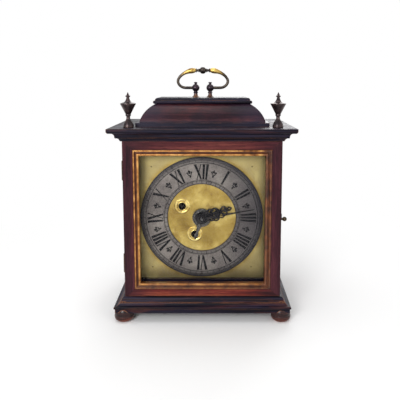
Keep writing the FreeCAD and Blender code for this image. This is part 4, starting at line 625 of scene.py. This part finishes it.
# The minute band, its outer edge and the inner edge of the ring are darker.
minute_band = silver.spread(out, 0.0742, 0.0752, 0.0, 0.34)
outer_edge = silver.spread(out, 0.0785, 0.0800, 0.0, 0.8)
inner_edge = silver.spread(out, 0.0505, 0.0515, 0.2, 0.0)
band = silver.maths("MAXIMUM", silver.maths("MAXIMUM", minute_band, outer_edge), inner_edge)
colour = silver.blend(band, colour, tone(44, 42, 50))
gloss = silver.spread(clouds, 0.3, 0.7, 0.38, 0.55)
dress(silver.finish(colour, gloss, silver.bump(grit, 0.00004, 0.4), 0.75), "chapter_ring")

wax = Finish("black_wax", Specular_IOR_Level=0.15)
crumbs = wax.noise(500.0, detail=3)
colour = wax.ramp(crumbs, (0.35, tone(12, 11, 15)), (0.65, tone(32, 30, 36)))
black_wax = wax.finish(colour, 0.55, wax.bump(crumbs, 0.00003))

# The wax stands a hair over the silvering and goes down into the ring, in mm.
WAX_PROUD, WAX_SUNK = 0.05, 0.3
wax_front, wax_back = ring_front - WAX_PROUD * MM, ring_front + WAX_SUNK * MM
NUMERAL_MIDDLE = 62.0


def on_ring(along, radius, hour):
    """A point of a numeral, in mm: along the ring at the numerals' middle, and out from the dial's middle."""
    turn = math.radians(hour * 30) + along / NUMERAL_MIDDLE
    return dial_x / MM + radius * math.sin(turn), dial_z / MM + radius * math.cos(turn)


def let_in(piece, outline, front, back):
    """Adds one flat shape, from (x, z) points in mm, as a solid from front to back."""
    bpy.ops.mesh.select_all(action="DESELECT")
    bpy.ops.mesh.primitive_circle_add(vertices=len(outline), fill_type="NGON")
    mesh = bmesh.from_edit_mesh(piece.data)
    for vertex, (x, z) in zip([v for v in mesh.verts if v.select], outline):
        vertex.co = (x * MM, front, z * MM)
    bpy.ops.mesh.extrude_region_move(TRANSFORM_OT_translate={"value": (0, back - front, 0)})


def stroke(a0, a1, wide, bottom=52.6, top=73.4):
    """A tapering stroke of a numeral, from its foot at a0 to its head at a1."""
    foot, head = wide / 2, wide / 2 * 1.06
    return [(a0 - foot, bottom), (a0 + foot, bottom), (a1 + head, top), (a1 - head, top)]


def serif(centre, wide, radius):
    """The short bar across a stroke's end."""
    left, right = centre - wide / 2, centre + wide / 2
    low, high = radius - 0.28, radius + 0.28
    return [(left, low), (right, low), (right, high), (left, high)]


# Each letter's width and its strokes, in mm: wide and fine strokes, and serifs at head and foot.
THICK, THIN, HEAD, FOOT = 2.8, 1.1, 73.0, 52.9
LETTERS = {
    "I": (4.2, [stroke(0, 0, THICK), serif(0, 3.7, HEAD), serif(0, 3.7, FOOT)]),
    "V": (8.8, [stroke(0.3, -3.0, THICK), stroke(0.4, 3.3, THIN), serif(-3.0, 3.8, HEAD), serif(3.2, 3.0, HEAD)]),
    "X": (9.4, [stroke(3.4, -3.4, THICK), stroke(-3.4, 3.4, THIN), serif(-3.2, 3.7, HEAD), serif(3.3, 3.0, HEAD),
                serif(-3.3, 3.0, FOOT), serif(3.2, 3.7, FOOT)]),
}
HOURS = ["XII", "I", "II", "III", "IIII", "V", "VI", "VII", "VIII", "IX", "X", "XI"]
numerals = begin("hour_numerals")
for hour, word in enumerate(HOURS):
    long = sum(LETTERS[letter][0] for letter in word)
    left = -long / 2
    for letter in word:
        wide, strokes = LETTERS[letter]
        for shape in strokes:
            outline = [on_ring(along + left + wide / 2, radius, hour) for along, radius in shape]
            let_in(numerals, outline, wax_front, wax_back)
        left += wide
close(numerals, black_wax, "case")

# Half-hour flowers: a pointed middle leaf, two curled side leaves, a band and a foot.
LEFT_LEAF = [(-1.1, 61.9), (-1.5, 62.9), (-1.9, 64.6), (-3.1, 65.2), (-3.9, 63.8), (-3.2, 62.2), (-2.1, 61.2)]
FLOWER = [[(0, 67.6), (-1.7, 65.2), (-1.0, 62.2), (1.0, 62.2), (1.7, 65.2)],
          LEFT_LEAF,
          [(-along, radius) for along, radius in LEFT_LEAF],
          [(-2.6, 61.0), (2.6, 61.0), (2.6, 59.8), (-2.6, 59.8)],
          [(-0.8, 59.6), (0.8, 59.6), (1.5, 57.8), (0, 56.2), (-1.5, 57.8)]]
flowers = begin("half_hour_flowers")
for hour in range(12):
    for shape in FLOWER:
        outline = [on_ring(along, radius, hour + 0.5) for along, radius in shape]
        let_in(flowers, outline, wax_front, wax_back)
close(flowers, black_wax, "case")


def track(piece, inner, outer, steps, wide):
    """Radial lines, one drawn and the rest copied round the dial."""
    left, right = dial_x / MM - wide / 2, dial_x / MM + wide / 2
    low, high = dial_z / MM + inner, dial_z / MM + outer
    let_in(piece, [(left, low), (right, low), (right, high), (left, high)], wax_front, wax_back)
    bpy.ops.mesh.select_linked()
    bpy.ops.mesh.spin(steps=steps, dupli=True, angle=math.tau, center=(dial_x, ring_front, dial_z), axis=(0, 1, 0))


def circle(inner, outer, front, back, sides=180):
    """A flat ring round the middle of the dial, from front to back, with closed edges."""
    bpy.ops.mesh.select_all(action="DESELECT")
    middle = (dial_x, front, dial_z)
    facing = (math.pi / 2, 0, 0)
    bpy.ops.mesh.primitive_circle_add(vertices=sides, radius=outer * MM, location=middle, rotation=facing)
    bpy.ops.mesh.extrude_edges_move()
    bpy.ops.transform.resize(value=(inner / outer, 1, inner / outer), center_override=middle)
    bpy.ops.mesh.select_linked()
    bpy.ops.mesh.extrude_region_move(TRANSFORM_OT_translate={"value": (0, back - front, 0)})


# Sixty minute lines and forty-eight quarter-hour lines, and the circles they stand between.
CIRCLES = [(74.7, 75.4), (78.4, 79.0), (81.7, 82.3), (50.3, 51.0), (51.6, 52.0), (46.2, 46.9)]
tracks = begin("minute_and_quarter_tracks")
track(tracks, 75.4, 78.4, 60, 0.6)
track(tracks, 46.9, 50.3, 48, 0.6)
for inner, outer in CIRCLES:
    circle(inner, outer, wax_front, wax_back)
bpy.ops.mesh.select_all(action="SELECT")
bpy.ops.mesh.remove_doubles(threshold=0.000001)
close(tracks, black_wax, "case")

# Small figures stand outside the minute track at every fifth minute, heads outwards.
FIGURE_HEIGHT, FIGURE_FOOT = 3.6 * MM, 79.05 * MM
UPRIGHT = Matrix(((1, 0, 0, 0), (0, 0, -1, 0), (0, 1, 0, 0), (0, 0, 0, 1)))
wax_middle = Matrix.Translation((dial_x, (wax_front + wax_back) / 2, dial_z))
figures = []
for count in range(1, 13):
    bpy.ops.object.select_all(action="DESELECT")
    bpy.ops.object.text_add(location=(0, 0, 0))
    word = bpy.context.object
    word.data.body = str(count * 5)
    word.data.size = FIGURE_HEIGHT
    word.data.align_x = "CENTER"
    word.data.extrude = (WAX_PROUD + WAX_SUNK) / 2 * MM
    bpy.ops.object.convert(target="MESH")
    word = bpy.context.object
    turned_to = Matrix.Rotation(math.radians(count * 30), 4, "Y")
    word.data.transform(wax_middle @ turned_to @ Matrix.Translation((0, 0, FIGURE_FOOT)) @ UPRIGHT)
    figures.append(word)
for word in figures:
    word.select_set(True)
bpy.context.view_layer.objects.active = figures[0]
bpy.ops.object.join()
minutes = bpy.context.object
minutes.name = "minute_figures"
bpy.ops.object.mode_set(mode="EDIT")
close(minutes, black_wax, "case")


# ---- hands ------------------------------------------------------------------------------
# Steel hands, sawn and filed from sheet, pierced with scrolls and blued, now gone dark grey.
# The alarm pointer is a toothed disc with a short leaf.
FILED = 0.1 * MM
hand_steel = Finish("darkened_steel")
rust = hand_steel.noise(160.0, detail=5, rough=0.7)
filed = hand_steel.noise(900.0, detail=2)
colour = hand_steel.ramp(rust, (0.36, tone(24, 23, 28)), (0.52, tone(44, 42, 46)), (0.7, tone(84, 76, 72)))
# The filed edges are painted lighter: painted highlights.
colour = hand_steel.blend(hand_steel.times(hand_steel.edges(0.0002, 4.0), 0.5), colour, tone(128, 120, 112))
gloss = hand_steel.spread(rust, 0.3, 0.7, 0.3, 0.5)
blued = hand_steel.finish(colour, gloss, hand_steel.bump(filed, 0.00003), 0.9)


def sawn_hand(name, node, outlines, turn, body, metal, thick=None, pipe=None):
    """A flat hand: closed outlines and piercings of (across, along) in mm, turned clockwise by degrees.

    A pipe, if it has one, stands behind it, given as its bore and outer radius in mm."""
    low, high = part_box(node)
    thick = thick or high.y - low.y
    middle = low.y + thick / 2
    bpy.ops.object.select_all(action="DESELECT")
    bpy.ops.curve.primitive_bezier_circle_add(location=(0, 0, 0))
    hand = bpy.context.object
    hand.data.splines.clear()
    for kind, points in outlines:
        spline = hand.data.splines.new("BEZIER")
        spline.bezier_points.add(len(points) - 1)
        spline.use_cyclic_u = True
        spline.resolution_u = 5
        for knot, (across, along) in zip(spline.bezier_points, points):
            knot.co = (across * MM, along * MM, 0)
            knot.handle_left_type = knot.handle_right_type = "AUTO" if kind == "smooth" else "VECTOR"
    hand.data.dimensions = "2D"
    hand.data.fill_mode = "BOTH"
    hand.data.bevel_depth = FILED
    hand.data.bevel_resolution = 1
    hand.data.offset = -FILED
    hand.data.extrude = thick / 2 - FILED
    bpy.ops.object.convert(target="MESH")
    hand = bpy.context.object
    hand.name = name
    turned_to = Matrix.Rotation(math.radians(turn), 4, "Y")
    hand.data.transform(Matrix.Translation((dial_x, middle, dial_z)) @ turned_to @ UPRIGHT)
    bpy.ops.object.mode_set(mode="EDIT")
    bpy.ops.mesh.select_all(action="SELECT")
    bpy.ops.mesh.remove_doubles(threshold=0.000002)
    if pipe:
        circle(*pipe, middle, high.y, 48)
    close(hand, metal, body)
    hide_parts(node)


def both(points):
    """A shape given for one side, closed by its mirror on the other."""
    return points + [(-a, b) for a, b in reversed(points) if abs(a) > 1e-9]


def pair(points):
    """A piercing and its mirror on the other side."""
    return [("smooth", points), ("smooth", [(-a, b) for a, b in points])]


def ring_of(radius, count=24):
    """A round eye."""
    turns = [math.tau * i / count for i in range(count)]
    return [(radius * math.cos(turn), radius * math.sin(turn)) for turn in turns]


hour_edge = both([(0, -8.6), (4.6, -7.3), (7.6, -3.6), (8.5, 0.4), (7.8, 4.4), (6.8, 7.0), (7.2, 9.2), (8.5, 11.6),
                  (8.6, 14.4), (7.6, 16.8), (8.0, 19.2), (7.4, 22.0), (5.6, 24.2), (3.8, 25.5), (3.4, 27.0),
                  (4.8, 28.6), (6.2, 31.0), (5.7, 33.8), (3.8, 35.6), (2.2, 36.7), (3.0, 38.2), (2.7, 40.2),
                  (1.2, 41.8), (0, 43.0)])
hour_holes = (pair([(1.6, 10.2), (3.8, 9.8), (6.2, 12.0), (6.6, 14.2), (4.8, 12.9), (3.0, 11.8)])
              + pair([(1.4, 15.8), (3.2, 16.4), (4.8, 18.4), (6.2, 20.0), (4.2, 21.0), (2.4, 19.0)])
              + pair([(1.0, 28.6), (2.6, 29.6), (4.4, 31.4), (4.0, 33.0), (2.4, 32.6), (1.4, 30.8)])
              + [("smooth", both([(0, 37.6), (0.8, 38.8), (0, 40.4)]))])
hour_outlines = [("smooth", hour_edge), ("smooth", ring_of(3.62))] + hour_holes
sawn_hand("pierced_hour_hand", "hour_hand", hour_outlines, 70.5, "hour_pipe", blued)

minute_edge = both([(0, -6.6), (4.2, -5.2), (6.4, -1.8), (6.4, 2.2), (4.4, 5.4), (2.9, 7.2), (4.6, 8.8), (5.9, 11.8),
                    (5.2, 14.4), (6.3, 16.8), (6.6, 20.0), (5.2, 23.0), (3.1, 24.6), (3.8, 26.8), (3.2, 29.6),
                    (1.7, 31.4), (1.35, 34.0), (1.1, 45.0), (0.85, 58.0), (0.6, 67.0), (0, 71.0)])
minute_holes = (pair([(0.9, 8.4), (2.4, 8.8), (3.9, 11.4), (3.4, 13.4), (1.8, 12.8)])
                + pair([(0.9, 14.6), (2.8, 14.6), (4.6, 17.2), (4.8, 20.0), (3.4, 21.8), (2.6, 18.8), (1.2, 17.2)])
                + pair([(0.6, 24.0), (1.8, 24.6), (2.3, 26.6), (1.6, 28.4), (0.7, 27.4)]))
square_eye = [(-1.7, -1.7), (1.7, -1.7), (1.7, 1.7), (-1.7, 1.7)]
minute_outlines = [("smooth", minute_edge), ("sharp", square_eye)] + minute_holes
sawn_hand("pierced_minute_hand", "minute_hand", minute_outlines, 79.8, "centre_arbor", blued)

# The pointer's disc has 26 teeth, and the edge opens at the top for its leaf.
leaf = [(3.0, 12.6), (2.4, 16.0), (1.7, 20.0), (1.5, 23.0), (2.6, 25.4), (2.0, 28.4), (0.4, 31.6)]
disc_edge = []
for corner in range(52):
    turn = math.radians(16 + 328 * corner / 51)
    radius = 13.3 if corner % 2 else 12.0
    disc_edge.append((-radius * math.sin(turn), radius * math.cos(turn)))
pointer_edge = disc_edge + leaf + [(-a, b) for a, b in reversed(leaf)]
engraved = Finish("engraved_disc_steel")
cells = {"Vector": engraved.place, "Scale": 420.0, "Randomness": 0.9}
scrolls = engraved.put("ShaderNodeTexVoronoi", cells, feature="DISTANCE_TO_EDGE").outputs["Distance"]
rust = engraved.noise(160.0, detail=5, rough=0.7)
colour = engraved.ramp(rust, (0.36, tone(26, 25, 29)), (0.52, tone(48, 45, 48)), (0.7, tone(80, 74, 70)))
# The engraved lines are painted lighter: painted highlights on the relief.
colour = engraved.blend(engraved.spread(scrolls, 0.03, 0.12, 0.7, 0.0), colour, tone(132, 128, 126))
pointer_steel = engraved.finish(colour, 0.42, engraved.bump(scrolls, 0.0001), 0.85)
pointer_outlines = [("sharp", pointer_edge), ("smooth", ring_of(3.66))]
sawn_hand("alarm_pointer", "alarm_hand", pointer_outlines, 197.3, "alarm_hand", pointer_steel, 0.9 * MM, (3.66, 4.9))

# ---- hub of the hands -------------------------------------------------------------------
# A domed steel collet is pressed on the centre arbor over the minute hand, and a taper pin
# through the arbor holds it there.
dress(blued, "hand_collet_and_pin")

# ---- movement ---------------------------------------------------------------------------
# Two thick brass plates, brass wheels and barrels, and steel arbors, pinions and springs,
# seen through the side windows and the rear door.
movement_brass = Finish("movement_brass")
clouds = movement_brass.noise(30.0, detail=2, rough=0.4)
brushed = movement_brass.noise(1.0, (60, 1500, 1500), 3)
colour = movement_brass.ramp(clouds, (0.2, tone(182, 148, 80)), (0.5, tone(198, 164, 92)), (0.8, tone(212, 180, 108)))
gloss = movement_brass.spread(clouds, 0.3, 0.7, 0.22, 0.4)
dress(movement_brass.finish(colour, gloss, movement_brass.bump(brushed, 0.00002, 0.4), 0.95),
      "hour_wheel", "minute_wheel", "going_barrel", "pendulum_cock", "pendulum", "alarm_barrel",
      "front_plate", "back_plate", "plate_pillars")

# Each train wheel is brass, riveted to a steel arbor whose pinion is cut in the solid.
for node in ("centre_wheel_and_arbor", "third_wheel_and_arbor", "escape_wheel_and_arbor", "alarm_crown_wheel"):
    low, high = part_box(node)
    wheel = Finish(node + "_metals")
    out = wheel.from_axis((low.x + high.x) / 2, (low.z + high.z) / 2)
    clouds = wheel.noise(50.0, detail=4)
    brass = wheel.ramp(clouds, (0.3, tone(184, 148, 76)), (0.7, tone(216, 184, 110)))
    steel = wheel.ramp(clouds, (0.34, tone(84, 82, 84)), (0.64, tone(150, 148, 150)))
    colour = wheel.blend(wheel.spread(out, 0.0039, 0.0042, 1.0, 0.0), brass, steel)
    gloss, relief = wheel.spread(clouds, 0.3, 0.7, 0.22, 0.4), wheel.bump(wheel.noise(900.0, detail=2), 0.00002, 0.4)
    dress(wheel.finish(colour, gloss, relief, 0.95), node)

collet_brass = Finish("polished_collet_brass")
clouds = collet_brass.noise(120.0, detail=4)
colour = collet_brass.ramp(clouds, (0.34, tone(196, 160, 84)), (0.6, tone(240, 212, 138)))
dress(collet_brass.finish(colour, 0.24, collet_brass.bump(clouds, 0.00002), 0.95), "winding_hole_collets")

movement_steel = Finish("movement_steel")
clouds = movement_steel.noise(60.0, detail=4)
brushed = movement_steel.noise(1.0, (1500, 80, 1500), 3)
colour = movement_steel.ramp(clouds, (0.34, tone(120, 120, 124)), (0.6, tone(176, 176, 180)))
gloss = movement_steel.spread(clouds, 0.3, 0.7, 0.2, 0.36)
dress(movement_steel.finish(colour, gloss, movement_steel.bump(brushed, 0.00002, 0.4), 0.95),
      "cannon_pinion", "going_mainspring", "going_click", "pallet_anchor", "alarm_mainspring", "alarm_click",
      "click_screws_and_springs", "alarm_hammer", "alarm_bell_stud", "seat_bolts")

# Old dark steel, painted darker still as painted shade, so the winding holes read black.
shaded_winding_steel = Finish("old_shaded_winding_steel")
rust = shaded_winding_steel.noise(180.0, detail=5, rough=0.7)
colour = shaded_winding_steel.ramp(rust, (0.36, tone(26, 24, 26)), (0.56, tone(52, 48, 48)), (0.74, tone(96, 84, 72)))
dress(shaded_winding_steel.finish(colour, 0.38, shaded_winding_steel.bump(rust, 0.00003), 0.85), "going_winding_arbor",
      "alarm_winding_arbor", "catch_pivot_screws")

bell_metal = Finish("turned_bell_metal")
turning = bell_metal.noise(1.0, (60, 60, 2200), 3)
clouds = bell_metal.noise(35.0, detail=4)
colour = bell_metal.ramp(clouds, (0.34, tone(160, 138, 92)), (0.62, tone(206, 184, 132)))
dress(bell_metal.finish(colour, 0.28, bell_metal.bump(turning, 0.00004, 0.5), 0.95), "alarm_bell")
